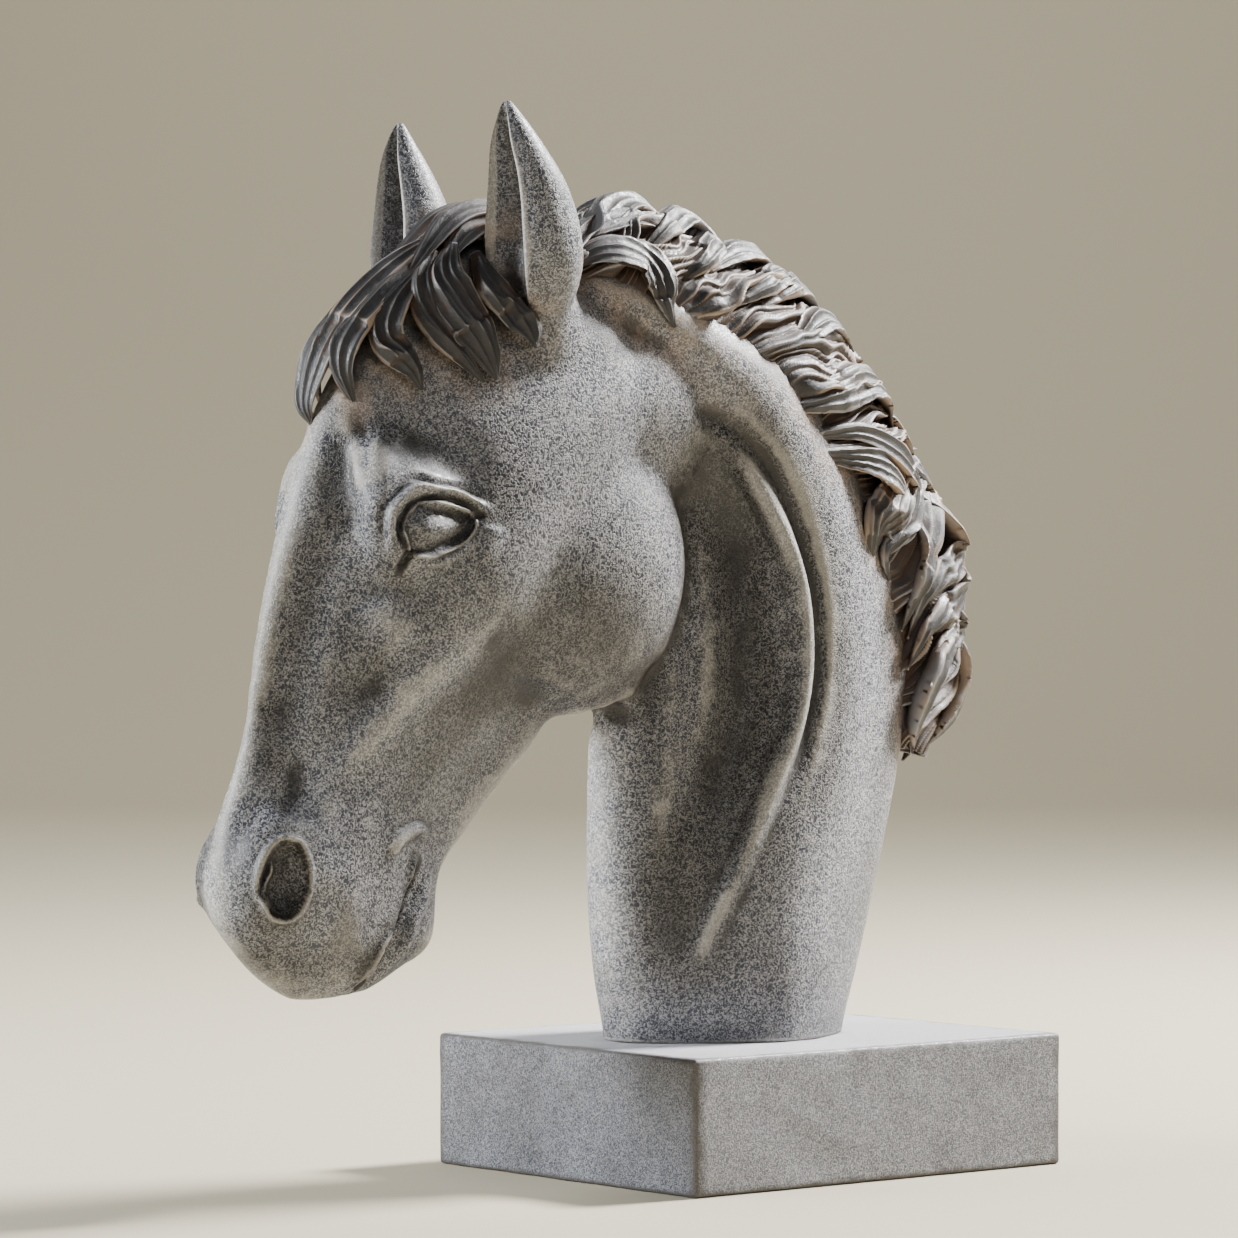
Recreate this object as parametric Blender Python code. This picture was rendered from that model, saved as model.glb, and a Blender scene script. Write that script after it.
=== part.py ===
"""A cast horse head bust on a plain plinth, in metres, +Z up, facing -Y.

The origin is the middle of the plinth's underside. The bust is modelled like clay: sections are
drawn out along the neck and the head, the lumps are fused into one skin, the carving is pressed
into it along lines that are laid on the skin, and the ears and the locks of hair are laid on.
"""

import math

import bmesh
import bpy
import numpy as np
from mathutils import Matrix, Vector
from mathutils.bvhtree import BVHTree

# Sizes that can be set by themselves, in metres
PLINTH_WIDTH = 0.152
PLINTH_LENGTH = 0.183
PLINTH_HEIGHT = 0.050
PLINTH_EDGE = 0.0016
BUST_HEIGHT = 0.344
SEAM = 0.0003

# The bust's free form is drawn in units: its height, from its seat to its ear tips, is 344 units
FORM_HEIGHT = 344.0
UNIT = BUST_HEIGHT / FORM_HEIGHT

# How fine the skin is: the voxel in units, and the faces that are kept
VOXEL = 1.5
BUST_TRIANGLES = 9300

# Sections of the head, from the poll to the lips, each from the front line of the face (y, z) to
# the line of the jaw (y, z), with the half width at the face, at the middle and at the jaw
HEAD_SECTIONS = [
    (-92, 294, -44, 240, 10, 16, 10),
    (-118, 298, -50, 205, 22, 31, 20),
    (-146, 293, -55, 172, 25, 35, 24),
    (-172, 273, -64, 150, 25, 38, 24),
    (-194, 247, -80, 137, 23, 39, 22),
    (-210, 217, -94, 127, 20, 38, 21),
    (-218, 195, -105, 119, 17, 34, 19),
    (-226, 168, -117, 110, 14, 28, 16),
    (-232, 140, -129, 100, 12, 23, 14),
    (-237, 112, -140, 88, 10, 20, 13),
    (-245, 90, -148, 74, 12, 22, 13),
    (-250, 70, -152, 60, 16, 24, 14),
    (-248, 54, -153, 47, 17, 24, 14),
    (-239, 41, -160, 38, 15, 22, 13),
    (-228, 30, -172, 30, 12, 18, 11),
    (-215, 22, -184, 24, 7, 11, 7),
]

# Sections of the neck, from the seat to the poll, each from the throat (y, z) to the crest (y, z),
# with the half width at the throat, at the middle and at the crest
NECK_SECTIONS = [
    (-66, -6, 38, -6, 26, 40, 30),
    (-67, 4, 40, 4, 26, 40, 30),
    (-72, 25, 48, 26, 26, 40, 30),
    (-76, 55, 59, 58, 24, 39, 28),
    (-77, 90, 71, 95, 22, 38, 24),
    (-76, 122, 80, 132, 20, 36, 20),
    (-70, 150, 83, 172, 20, 35, 17),
    (-60, 172, 72, 208, 20, 34, 16),
    (-54, 195, 46, 242, 22, 34, 17),
    (-56, 215, 13, 270, 24, 34, 18),
    (-63, 232, -28, 286, 24, 33, 19),
    (-76, 250, -64, 294, 18, 30, 20),
    (-92, 262, -96, 295, 12, 24, 16),
]

# Lumps laid on the right and the left: centre, radii and turn in the side view
LUMPS = [
    ("cheek", (15, -98, 178), (23, 50, 52), 0),
    ("orbit", (25, -180, 193), (13, 22, 22), 20),
    ("brow", (20, -191, 206), (11, 10, 15), 0),
    ("nostril", (11, -226, 68), (12, 20, 25), -10),
    ("jaw", (12, -105, 150), (16, 42, 26), -25),
    ("ear root", (22, -119, 264), (13, 16, 22), 0),
]
CHIN = ((0, -168, 47), (14, 14, 14), 0)
POLL = ((0, -70, 235), (32, 48, 42), 0)

# The ear's axis from its root to its tip, each with its radius and the depth of the scoop
EAR = [
    (21, -121, 259, 8, 0),
    (25, -124, 272, 13.5, 1),
    (27.5, -126, 285, 17, 9),
    (29, -128, 296, 17.2, 13),
    (30, -130, 307, 15.6, 13),
    (31, -133, 317, 13.2, 11),
    (31.5, -137, 327, 9.8, 8),
    (32, -140, 335, 6.2, 4),
    (32, -142, 341, 3.0, 1.5),
    (32, -142.5, 343.5, 1.2, 0),
]
EAR_SCOOP = 40

# The mane lies between its root line on the near side of the neck and its crest line (y, z)
ROOT_LINE = [
    (22, -112, 286),
    (27, -88, 280),
    (29, -60, 272),
    (29, -26, 260),
    (29, 0, 243),
    (27, 20, 226),
    (24, 38, 206),
    (21, 50, 184),
    (17, 60, 162),
    (14, 66, 138),
    (9, 70, 108),
]
CREST_LINE = [
    (-104, 298),
    (-88, 305),
    (-62, 308),
    (-32, 303),
    (4, 289),
    (34, 270),
    (61, 244),
    (84, 214),
    (99, 188),
    (101, 160),
    (101, 134),
    (84, 106),
]
# Strands that sweep from the root line up and over the crest: each point's run along the mane, its
# turn from the root line to the crest in degrees and its lift; then their width, thickness and places
SWEEP = [(-0.1, -26, -6), (0.1, 2, -0.5), (0.35, 22, 1), (0.65, 50, 1), (0.9, 80, 1), (1, 96, 0.2)]
SWEEP_RUN = 0.14
STRAND_WIDTH = 16
STRAND_THICK = 7
STRAND_PLACES = [-0.04, 0.02, 0.08, 0.14, 0.20, 0.26, 0.32, 0.38, 0.44]

# Locks of the forelock: width, thickness, then the path from root to tip on the near side; the first
# one is in the middle, the others have a mirror image
FORELOCK = [
    (20, 11, [(0, -142, 298), (0, -158, 291), (-2, -174, 280), (-4, -188, 267), (-6, -197, 254),
              (-6, -202, 243), (-5, -205, 234), (-3, -204, 227)]),
    (14, 10, [(4, -152, 292), (6, -171, 280), (7, -187, 266), (7, -196, 255), (8, -198, 245),
              (10, -194, 233)]),
    (13, 9, [(8, -154, 290), (12, -173, 276), (14, -182, 265), (16, -184, 257), (19, -180, 251),
             (22, -177, 246), (23, -174, 239)]),
    (18, 9, [(11, -152, 293), (18, -160, 281), (23, -158, 270), (27, -154, 261), (30, -150, 252),
             (32, -147, 243)]),
    (11, 8, [(9, -158, 290), (15, -168, 279), (19, -169, 268), (23, -165, 259), (28, -158, 250),
             (31, -152, 242)]),
    (14, 9, [(15, -144, 290), (25, -144, 277), (30, -138, 268), (34, -134, 262), (36, -132, 255)]),
    (14, 9, [(7, -104, 297), (6, -119, 304), (5, -133, 306), (5, -147, 302), (7, -160, 291),
             (10, -172, 279)]),
    (12, 8, [(12, -112, 292), (12, -127, 299), (11, -140, 299), (12, -151, 292), (16, -158, 283)]),
]

# Locks of the mane, the same way; the far side's ones are a little narrower and lie a little further on
FAR_SHIFT = 6
FAR_WIDTH = 0.9
MANE_LOCKS = [
    (13, 9, [(18, -104, 292), (14, -92, 300), (12, -80, 302), (12, -68, 304), (13, -59, 301),
             (18, -58, 294)]),
    (19, 11, [(21, -108, 286), (24, -94, 292), (25, -82, 292), (26, -73, 289), (29, -68, 281),
              (30, -66, 273), (31, -63, 265)]),
    (19, 12, [(14, -98, 292), (12, -88, 302), (8, -78, 309), (4, -67, 313), (2, -56, 312), (3, -46, 306)]),
    (18, 12, [(24, -84, 286), (20, -68, 298), (13, -53, 305), (6, -41, 309), (3, -28, 307), (3, -14, 299)]),
    (13, 10, [(27, -74, 279), (26, -62, 289), (21, -49, 295), (14, -36, 299), (10, -27, 301)]),
    (17, 12, [(28, -64, 273), (27, -48, 284), (21, -33, 292), (12, -18, 298), (5, -7, 299), (3, 6, 291)]),
    (14, 10, [(29, -55, 270), (27, -38, 280), (22, -24, 285), (14, -10, 290), (8, 0, 293), (5, 11, 288)]),
    (17, 11, [(29, -47, 267), (27, -30, 276), (23, -14, 280), (15, 2, 285), (8, 14, 288), (4, 27, 282)]),
    (13, 10, [(29, -39, 263), (27, -22, 271), (24, -8, 273), (16, 8, 278), (9, 20, 282), (4, 34, 276)]),
    (17, 11, [(29, -31, 259), (28, -13, 265), (25, 2, 268), (17, 16, 273), (10, 28, 275), (4, 43, 268)]),
    (14, 10, [(29, -23, 254), (28, -6, 261), (25, 8, 263), (17, 23, 267), (10, 37, 268), (4, 52, 260)]),
    (18, 12, [(29, -15, 249), (28, 2, 254), (26, 14, 257), (18, 30, 262), (10, 44, 264), (5, 57, 256),
              (4, 65, 246)]),
    (14, 10, [(29, -8, 244), (28, 8, 248), (26, 20, 250), (19, 34, 254), (13, 47, 255), (8, 59, 248)]),
    (20, 11, [(28, -2, 238), (27, 13, 242), (23, 27, 246), (17, 41, 249), (12, 53, 247), (9, 62, 240),
              (10, 65, 229)]),
    (24, 12, [(27, 12, 221), (25, 36, 220), (22, 50, 216), (20, 58, 208), (22, 53, 201), (23, 45, 194),
              (22, 43, 187), (20, 43, 180)]),
    (14, 11, [(27, 10, 228), (25, 34, 229), (20, 55, 222), (15, 69, 212), (15, 70, 204), (17, 65, 195),
              (19, 56, 188), (20, 51, 181), (17, 57, 172)]),
    (21, 12, [(8, 74, 209), (6, 88, 203), (5, 99, 193), (6, 102, 183), (11, 92, 176), (15, 81, 170),
              (16, 72, 162), (15, 68, 150)]),
    (13, 9, [(14, 70, 199), (16, 75, 190), (18, 75, 181), (19, 71, 173), (18, 67, 163), (17, 63, 153)]),
    (18, 12, [(5, 92, 188), (4, 103, 178), (5, 104, 169), (9, 95, 162), (14, 83, 157), (17, 73, 150),
              (16, 67, 138)]),
    (15, 11, [(3, 94, 168), (3, 103, 161), (4, 105, 153), (8, 96, 149), (13, 85, 145), (14, 77, 137)]),
    (18, 11, [(4, 100, 152), (9, 93, 146), (14, 82, 138), (14, 75, 127), (12, 73, 116), (9, 76, 105)]),
    (15, 11, [(2, 98, 155), (2, 106, 147), (2, 108, 135), (3, 102, 124), (4, 94, 115), (4, 86, 107)]),
    (12, 9, [(10, 56, 240), (6, 64, 238), (3, 73, 231), (2, 80, 222), (4, 84, 212)]),
    (11, 9, [(8, 74, 221), (4, 82, 216), (2, 90, 208), (2, 95, 199), (4, 96, 190)]),
]
# Carving: how far a stroke reaches, how deep it is (a groove is below 0), whether it closes on
# itself, and its path on the near side; the other side is its mirror image
CARVING = [
    ("eyelid fold", 3.6, 2.8, False,
     [(29, -191, 172), (32, -197, 182), (35, -197, 193), (38, -190, 202), (38, -176, 206), (35, -159, 203),
      (38, -148, 198)]),
    ("lid groove", 2.8, -2.6, False,
     [(34, -190, 176), (35, -195, 185), (38, -193, 194), (39, -185, 200), (38, -172, 201), (36, -159, 197),
      (37, -152, 195)]),
    ("eye ring", 2.6, 2.0, True,
     [(34, -191, 178), (36, -193, 186), (38, -190, 194), (39, -182, 198), (38, -171, 198), (36, -159, 194),
      (37, -169, 183), (37, -178, 180), (36, -186, 178)]),
    ("eye gap", 2.4, -2.4, True,
     [(34, -188, 180), (36, -190, 186), (38, -187, 193), (39, -181, 196), (38, -171, 195), (36, -162, 193),
      (37, -171, 185), (37, -178, 182), (36, -184, 180)]),
    ("tear corner", 4.0, -3.0, False, [(30, -194, 170), (33, -191, 175), (34, -188, 180)]),
    ("brow hollow", 9.0, -2.4, False, [(20, -188, 221), (32, -196, 213), (36, -193, 210), (35, -184, 211)]),
    ("brow front hollow", 10.0, -1.6, False,
     [(13, -196, 226), (15, -200, 214), (14, -204, 203), (13, -206, 189)]),
    ("brow fold", 4.0, 1.6, False, [(10, -200, 222), (10, -205, 210), (9, -209, 198)]),
    ("above the eye", 9.0, -2.4, False, [(34, -185, 216), (30, -172, 213), (31, -158, 210)]),
    ("beside the bridge", 13.0, -2.6, False,
     [(14, -204, 196), (12, -213, 176), (11, -221, 145), (10, -226, 125), (9, -229, 108)]),
    ("cheekbone", 13.0, 2.2, False, [(20, -196, 163), (24, -189, 155), (29, -178, 146)]),
    ("below the cheekbone", 14.0, -2.2, False, [(14, -208, 141), (18, -202, 132), (23, -188, 128)]),
    ("upper jaw muscle", 9.0, 1.8, False,
     [(31, -157, 147), (27, -178, 135), (21, -194, 114), (17, -210, 98)]),
    ("jaw muscle gap", 9.0, -1.6, False,
     [(27, -160, 134), (23, -178, 119), (20, -192, 102), (21, -203, 88)]),
    ("lower jaw muscle", 11.0, 1.5, False,
     [(20, -122, 131), (17, -144, 113), (17, -165, 96), (19, -180, 84)]),
    ("cheek pit", 11.0, -3.2, False, [(33, -150, 153), (31, -142, 147), (27, -132, 141)]),
    ("cheek edge", 5.0, -3.4, False,
     [(31, -158, 144), (27, -148, 137), (20, -128, 129), (19, -105, 124), (23, -86, 127), (28, -70, 138),
      (26, -54, 158)]),
    ("nostril groove", 7.0, -1.5, False, [(13, -221, 112), (14, -223, 100), (19, -226, 88)]),
    ("nostril rim", 3.6, 2.2, True,
     [(20, -229, 85), (18, -238, 80), (17, -243, 70), (16, -243, 60), (17, -238, 51), (19, -230, 48),
      (22, -223, 54), (23, -219, 63), (22, -220, 75), (21, -225, 83)]),
    ("nostril", 9.5, -7.0, False, [(22, -229, 77), (22, -233, 68), (20, -234, 58)]),
    ("nostril fold", 3.0, 2.4, False, [(19, -236, 73), (19, -238, 65), (19, -236, 57)]),
    ("mouth", 3.2, -4.6, False,
     [(14, -168, 76), (17, -174, 70), (17, -177, 61), (18, -181, 52), (17, -186, 43), (14, -191, 33),
      (8, -194, 26), (0, -196, 24)]),
    ("mouth corner", 5.0, 2.0, False, [(15, -176, 78), (14, -167, 81), (13, -160, 74)]),
    ("lip hollow", 9.0, -1.2, False, [(18, -182, 72), (19, -186, 62), (20, -191, 52), (18, -196, 42)]),
    ("upper lip", 9.0, 1.2, False, [(20, -196, 74), (20, -202, 62), (18, -208, 48), (14, -212, 36)]),
    ("lower lip", 6.0, 1.4, False, [(13, -168, 64), (14, -172, 54), (13, -177, 45), (10, -183, 36)]),
    ("chin groove", 6.0, -1.2, False, [(12, -160, 62), (14, -166, 52), (13, -173, 43), (9, -179, 35)]),
    ("neck hollow", 18.0, -8.0, False,
     [(24, -48, 218), (26, -30, 196), (29, -25, 160), (31, -28, 125), (30, -40, 95), (27, -52, 66)]),
    ("throat ridge", 9.0, 1.8, False, [(22, -54, 160), (22, -56, 128), (20, -60, 96), (18, -64, 62)]),
    ("neck ridge", 7.0, 4.4, False,
     [(30, -62, 231), (29, -38, 222), (29, -18, 203), (32, -6, 178), (35, -3, 150), (36, -7, 122),
      (36, -20, 94), (33, -34, 64), (28, -47, 35), (25, -51, 20)]),
    ("neck groove", 6.0, -3.6, False,
     [(31, -62, 240), (30, -32, 229), (32, -10, 206), (34, 3, 172), (36, 5, 140), (37, -4, 108),
      (38, -18, 80)]),
]
STROKE_TAPER = 0.3
# The middle line that the locks stand out from
SPINE = [(-212, 110), (-172, 200), (-130, 245), (-70, 250), (-10, 232), (28, 198), (44, 160), (42, 100)]


def through(controls, count):
    """A smooth curve through the controls, as count points spread evenly by their number."""
    rows = np.array(controls, float)
    rows = np.vstack([2 * rows[0] - rows[1], rows, 2 * rows[-1] - rows[-2]])
    places = np.linspace(0, len(rows) - 3, count)
    cell = np.minimum(places.astype(int), len(rows) - 4)
    s = (places - cell)[:, None]
    a, b, c, d = (rows[cell + i] for i in range(4))
    return 0.5 * (2 * b + (c - a) * s + (2 * a - 5 * b + 4 * c - d) * s**2 + (3 * b - a - 3 * c + d) * s**3)


def draw_out(rings):
    """A closed skin: a disc pushed out ring by ring."""
    skin = bmesh.new()
    bmesh.ops.create_circle(skin, cap_ends=True, segments=len(rings[0]), radius=1)
    skin.faces.ensure_lookup_table()
    cap = skin.faces[0]
    for number, ring in enumerate(rings):
        if number:
            pushed = bmesh.ops.extrude_face_region(skin, geom=[cap])
            cap = next(item for item in pushed["geom"] if isinstance(item, bmesh.types.BMFace))
        for vert, place in zip(cap.verts, ring):
            vert.co = place
    bmesh.ops.recalc_face_normals(skin, faces=skin.faces)
    return skin


def section_ring(section, boxy, count=56):
    """One section of the head or neck as a ring of points."""
    front, back = np.array(section[:2]), np.array(section[2:4])
    near, middle, far = section[4:]
    turn = np.linspace(0, 2 * math.pi, count, endpoint=False)
    share = (1 - np.cos(turn)) / 2
    ease = np.abs(2 * share - 1)
    ease = ease * ease * (3 - 2 * ease)
    half = np.where(share < 0.5, middle + (near - middle) * ease, middle + (far - middle) * ease)
    side = np.sign(np.sin(turn)) * np.abs(np.sin(turn)) ** boxy * half
    line = front + (back - front) * share[:, None]
    return np.column_stack([side, line])


def drawn_form(sections, boxy, count=60):
    return draw_out([section_ring(section, boxy) for section in through(sections, count)])


def egg(centre, radii, turn):
    """A smooth egg, turned in the side view by so many degrees."""
    skin = bmesh.new()
    bmesh.ops.create_icosphere(skin, subdivisions=4, radius=1)
    bmesh.ops.scale(skin, vec=radii, verts=skin.verts)
    turned = Matrix.Rotation(math.radians(turn), 3, "X")
    bmesh.ops.rotate(skin, cent=(0, 0, 0), matrix=turned, verts=skin.verts)
    bmesh.ops.translate(skin, vec=centre, verts=skin.verts)
    return skin


def ear(side, lean, size, count=36):
    """A leaf shaped ear with its scoop to the front; its root leans forward by so much."""
    turn = np.linspace(-math.pi, math.pi, count, endpoint=False)
    rim = math.radians(EAR_SCOOP)
    rings = []
    for x, y, z, radius, depth in through(EAR, 34):
        y -= lean * (FORM_HEIGHT - z) / 70
        z -= (1 - size) * 40
        radius *= size
        across = radius * np.sin(turn)
        along = -radius * np.cos(turn)
        inside = np.abs(turn) < rim
        hollow = 1 - (np.abs(turn) / rim) ** 2
        along = np.where(inside, -radius * math.cos(rim) + depth * np.sqrt(np.clip(hollow, 0, 1)), along)
        rings.append(np.column_stack([side * (x + across), y + along, np.full(count, z)]))
    return draw_out(rings)


def nearest_on(line, places):
    """For each place, the nearest of the line's points."""
    apart = np.linalg.norm(places[:, None] - line[None], axis=2)
    return line[apart.argmin(axis=1)]


def kept_over(line, skins, least):
    """The line with each of its points at least so high over the skins."""
    for skin in skins:
        for at, place in enumerate(line):
            near, normal, _, _ = skin.find_nearest(place)
            short = least[at] - (Vector(place) - near).dot(normal)
            if short > 0:
                line[at] += np.array(normal * short)
    return line


def lock(width, thick, path, side=1, skins=(), count=26, ring=12):
    """One lock of hair: a tapered strand with a ridge, broad side to the skin."""
    share = np.linspace(0, 1, count)
    middle = through([(side * x, y, z) for x, y, z in path], count)
    least = 2.0 - 6.0 * np.clip(1 - 6 * share, 0, 1) - 3.0 * np.clip(6 * share - 5, 0, 1)
    middle = kept_over(middle, skins, least)
    spine = through([(0, y, z) for y, z in SPINE], 80)
    ahead = np.gradient(middle, axis=0)
    ahead /= np.linalg.norm(ahead, axis=1)[:, None]
    out = middle - nearest_on(spine, middle)
    out -= ahead * (out * ahead).sum(axis=1)[:, None]
    out /= np.linalg.norm(out, axis=1)[:, None]
    across = np.cross(ahead, out)
    swell = np.clip(0.3 + 2.6 * share, 0, 1) * np.clip((1 - share) * 2.6, 0.1, 1) ** 0.7
    turn = np.linspace(0, 2 * math.pi, ring, endpoint=False)
    wide, high = np.cos(turn), np.sin(turn) * (1 - 0.25 * np.abs(np.cos(turn)))
    rings = []
    for at in range(count):
        spread = across[at] * wide[:, None] * width / 2 + out[at] * high[:, None] * thick / 2
        rings.append(middle[at] + spread * swell[at])
    return draw_out(rings)


def on_mane(share, turn, lift):
    """A place on the mane: its share of the length, its turn from the root line to the crest, its lift."""
    at = int(min(1, max(0, share)) * (len(ROOT_FINE) - 1))
    root, rise = ROOT_FINE[at], MANE_RISE[at]
    out = np.array((math.cos(turn), 0, 0)) + rise / np.linalg.norm(rise) * math.sin(turn)
    return (root[0] * math.cos(turn), root[1], root[2]) + rise * math.sin(turn) + out * lift


def mane_core():
    """The body under the locks: half a ring on the near side and its mirror image."""
    turns = np.radians(np.arange(-40, 91, 10))
    rings = []
    for share in np.linspace(0, 1, 60):
        half = [on_mane(share, turn, -1.5) for turn in turns]
        rings.append([*half, *(place * (-1, 1, 1) for place in half[-2::-1])])
    return draw_out(rings)


def strand_path(root):
    """The path of a strand that sweeps from the root line over the crest."""
    return [on_mane(root + SWEEP_RUN * along, math.radians(turn), lift) for along, turn, lift in SWEEP]


def moved_along(path, distance):
    """A path moved so far along the crest line."""
    moved = []
    for place in np.array(path, float):
        at = np.linalg.norm(CREST_FINE - place, axis=1).argmin()
        moved.append(place + CREST_AHEAD[at] * distance)
    return moved


ROOT_FINE = through(ROOT_LINE, 401)
CREST_FINE = through([(0, y, z) for y, z in CREST_LINE], 401)
CREST_AHEAD = np.gradient(CREST_FINE, axis=0)
CREST_AHEAD /= np.linalg.norm(CREST_AHEAD, axis=1)[:, None]
MANE_RISE = (CREST_FINE - ROOT_FINE) * (0, 1, 1)


def both_sides(make, *details):
    return [make(side, *details) for side in (1, -1)]


def mirrored_lump(side, centre, radii, turn):
    return egg((side * centre[0], centre[1], centre[2]), radii, turn)


def carve(clay, strokes):
    """The skin moved along its normals under every stroke, on both sides."""
    clay.normal_update()
    skin = BVHTree.FromBMesh(clay)
    places = np.array([vert.co for vert in clay.verts])
    normals = np.array([vert.normal for vert in clay.verts])
    moved = np.zeros(len(places))
    for _, reach, depth, closed, path in strokes:
        length = np.linalg.norm(np.diff(np.array(path), axis=0), axis=1).sum()
        line = through([*path, path[0]] if closed else path, int(max(30, 1.4 * length)))
        share = np.linspace(0, 1, len(line))
        taper = np.clip(np.minimum(share, 1 - share) / STROKE_TAPER, 0, 1)
        strength = np.ones(len(line)) if closed else taper * taper * (3 - 2 * taper)
        for side in (1, -1):
            points = np.array([skin.find_nearest(point)[0] for point in line * (side, 1, 1)])
            low, high = points.min(axis=0) - reach, points.max(axis=0) + reach
            close = np.flatnonzero(((places > low) & (places < high)).all(axis=1))
            apart = np.linalg.norm(places[close][:, None] - points[None], axis=2)
            at = apart.argmin(axis=1)
            fall = np.clip(1 - (apart.min(axis=1) / reach) ** 2, 0, 1) ** 2
            moved[close] += depth * fall * strength[at]
    places += normals * moved[:, None]
    for vert, place in zip(clay.verts, places):
        vert.co = place


def fuse(skins, voxel):
    """One closed skin round all the skins."""
    joined = bpy.data.meshes.new("clay")
    whole = bmesh.new()
    for skin in skins:
        skin.to_mesh(joined)
        whole.from_mesh(joined)
        skin.free()
    whole.to_mesh(joined)
    whole.free()
    holder = bpy.data.objects.new("clay", joined)
    bpy.context.scene.collection.objects.link(holder)
    remesh = holder.modifiers.new("fuse", "REMESH")
    remesh.mode = "VOXEL"
    remesh.voxel_size = voxel
    graph = bpy.context.evaluated_depsgraph_get()
    fused = bpy.data.meshes.new_from_object(holder.evaluated_get(graph))
    bpy.data.objects.remove(holder)
    bpy.data.meshes.remove(joined)
    clay = bmesh.new()
    clay.from_mesh(fused)
    bpy.data.meshes.remove(fused)
    return clay


def soften(clay, passes):
    """The skin smoothed so many times."""
    for _ in range(passes):
        bmesh.ops.smooth_vert(
            clay, verts=clay.verts, factor=0.5, use_axis_x=True, use_axis_y=True, use_axis_z=True
        )


def thinned(clay, triangles):
    """The skin with only so many triangles, as one shell without closed pockets inside."""
    mesh = bpy.data.meshes.new("thinned")
    bmesh.ops.triangulate(clay, faces=clay.faces)
    ratio = triangles / len(clay.faces)
    clay.to_mesh(mesh)
    clay.free()
    holder = bpy.data.objects.new("thinned", mesh)
    bpy.context.scene.collection.objects.link(holder)
    fewer = holder.modifiers.new("fewer", "DECIMATE")
    fewer.ratio = ratio
    graph = bpy.context.evaluated_depsgraph_get()
    light = bmesh.new()
    light.from_object(holder, graph)
    bpy.data.objects.remove(holder)
    bpy.data.meshes.remove(mesh)
    shells, seen = [], set()
    for start in light.verts:
        if start in seen:
            continue
        shell, front = {start}, [start]
        while front:
            for edge in front.pop().link_edges:
                for vert in edge.verts:
                    if vert not in shell:
                        shell.add(vert)
                        front.append(vert)
        seen |= shell
        shells.append(shell)
    outer = max(shells, key=len)
    bmesh.ops.delete(light, geom=[vert for vert in light.verts if vert not in outer], context="VERTS")
    return light


def clear_scene():
    for item in list(bpy.data.objects):
        bpy.data.objects.remove(item)


def material(name, colour, roughness):
    made = bpy.data.materials.new(name)
    made.use_nodes = True
    shader = made.node_tree.nodes["Principled BSDF"]
    shader.inputs["Base Color"].default_value = (*colour, 1)
    shader.inputs["Roughness"].default_value = roughness
    shader.inputs["Metallic"].default_value = 0
    return made


def make_plinth():
    block = bmesh.new()
    bmesh.ops.create_cube(block, size=1)
    bmesh.ops.scale(block, vec=(PLINTH_WIDTH, PLINTH_LENGTH, PLINTH_HEIGHT), verts=block.verts)
    bmesh.ops.translate(block, vec=(0, 0, PLINTH_HEIGHT / 2), verts=block.verts)
    bmesh.ops.bevel(
        block, geom=block.edges[:], offset=PLINTH_EDGE, segments=2, profile=0.5, affect="EDGES", material=-1
    )
    mesh = bpy.data.meshes.new("plinth")
    block.to_mesh(mesh)
    block.free()
    plinth = bpy.data.objects.new("plinth", mesh)
    bpy.context.scene.collection.objects.link(plinth)
    return plinth


def base_form():
    """The head and the neck as bare lumps, softened where they meet."""
    skins = [drawn_form(HEAD_SECTIONS, 0.74), drawn_form(NECK_SECTIONS, 0.82), egg(*CHIN), egg(*POLL)]
    for _, *details in LUMPS:
        skins += both_sides(mirrored_lump, *details)
    clay = fuse(skins, VOXEL)
    soften(clay, 16)
    carve(clay, CARVING)
    return clay


def hair(head):
    """The mane's core, its strands and locks and the forelock, laid on the head and the neck."""
    core = mane_core()
    skins = [BVHTree.FromBMesh(head), BVHTree.FromBMesh(core)]
    laid = [core]
    for number, (width, thick, path) in enumerate(FORELOCK):
        laid.append(lock(width, thick, path, 1, skins))
        if number:
            laid.append(lock(width, thick, path, -1, skins))
    for width, thick, path in MANE_LOCKS:
        laid.append(lock(width, thick, path, 1, skins))
        laid.append(lock(width * FAR_WIDTH, thick, moved_along(path, FAR_SHIFT), -1, skins))
    for root in STRAND_PLACES:
        laid.append(lock(STRAND_WIDTH, STRAND_THICK, strand_path(root), 1))
        laid.append(lock(STRAND_WIDTH, STRAND_THICK, strand_path(root + 0.03), -1))
    return laid


def make_bust():
    head = base_form()
    locks = hair(head)
    clay = fuse([head, ear(1, 0, 1), ear(-1, 15, 0.92), *locks], VOXEL)
    soften(clay, 2)
    clay = thinned(clay, BUST_TRIANGLES)
    everything = [*clay.verts, *clay.edges, *clay.faces]
    cut = bmesh.ops.bisect_plane(
        clay, geom=everything, plane_co=(0, 0, 0), plane_no=(0, 0, -1), clear_outer=True
    )
    rim = [item for item in cut["geom_cut"] if isinstance(item, bmesh.types.BMEdge)]
    bmesh.ops.contextual_create(clay, geom=rim)
    bmesh.ops.triangulate(clay, faces=clay.faces)
    bmesh.ops.scale(clay, vec=(UNIT, UNIT, UNIT), verts=clay.verts)
    mesh = bpy.data.meshes.new("horse_head")
    clay.to_mesh(mesh)
    clay.free()
    bust = bpy.data.objects.new("horse_head", mesh)
    bpy.context.scene.collection.objects.link(bust)
    bust.location.z = PLINTH_HEIGHT + SEAM
    return bust


clear_scene()
make_plinth().data.materials.append(material("plinth cast grey", (0.27, 0.27, 0.275), 0.72))
make_bust().data.materials.append(material("bust cast grey", (0.21, 0.205, 0.205), 0.68))
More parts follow.
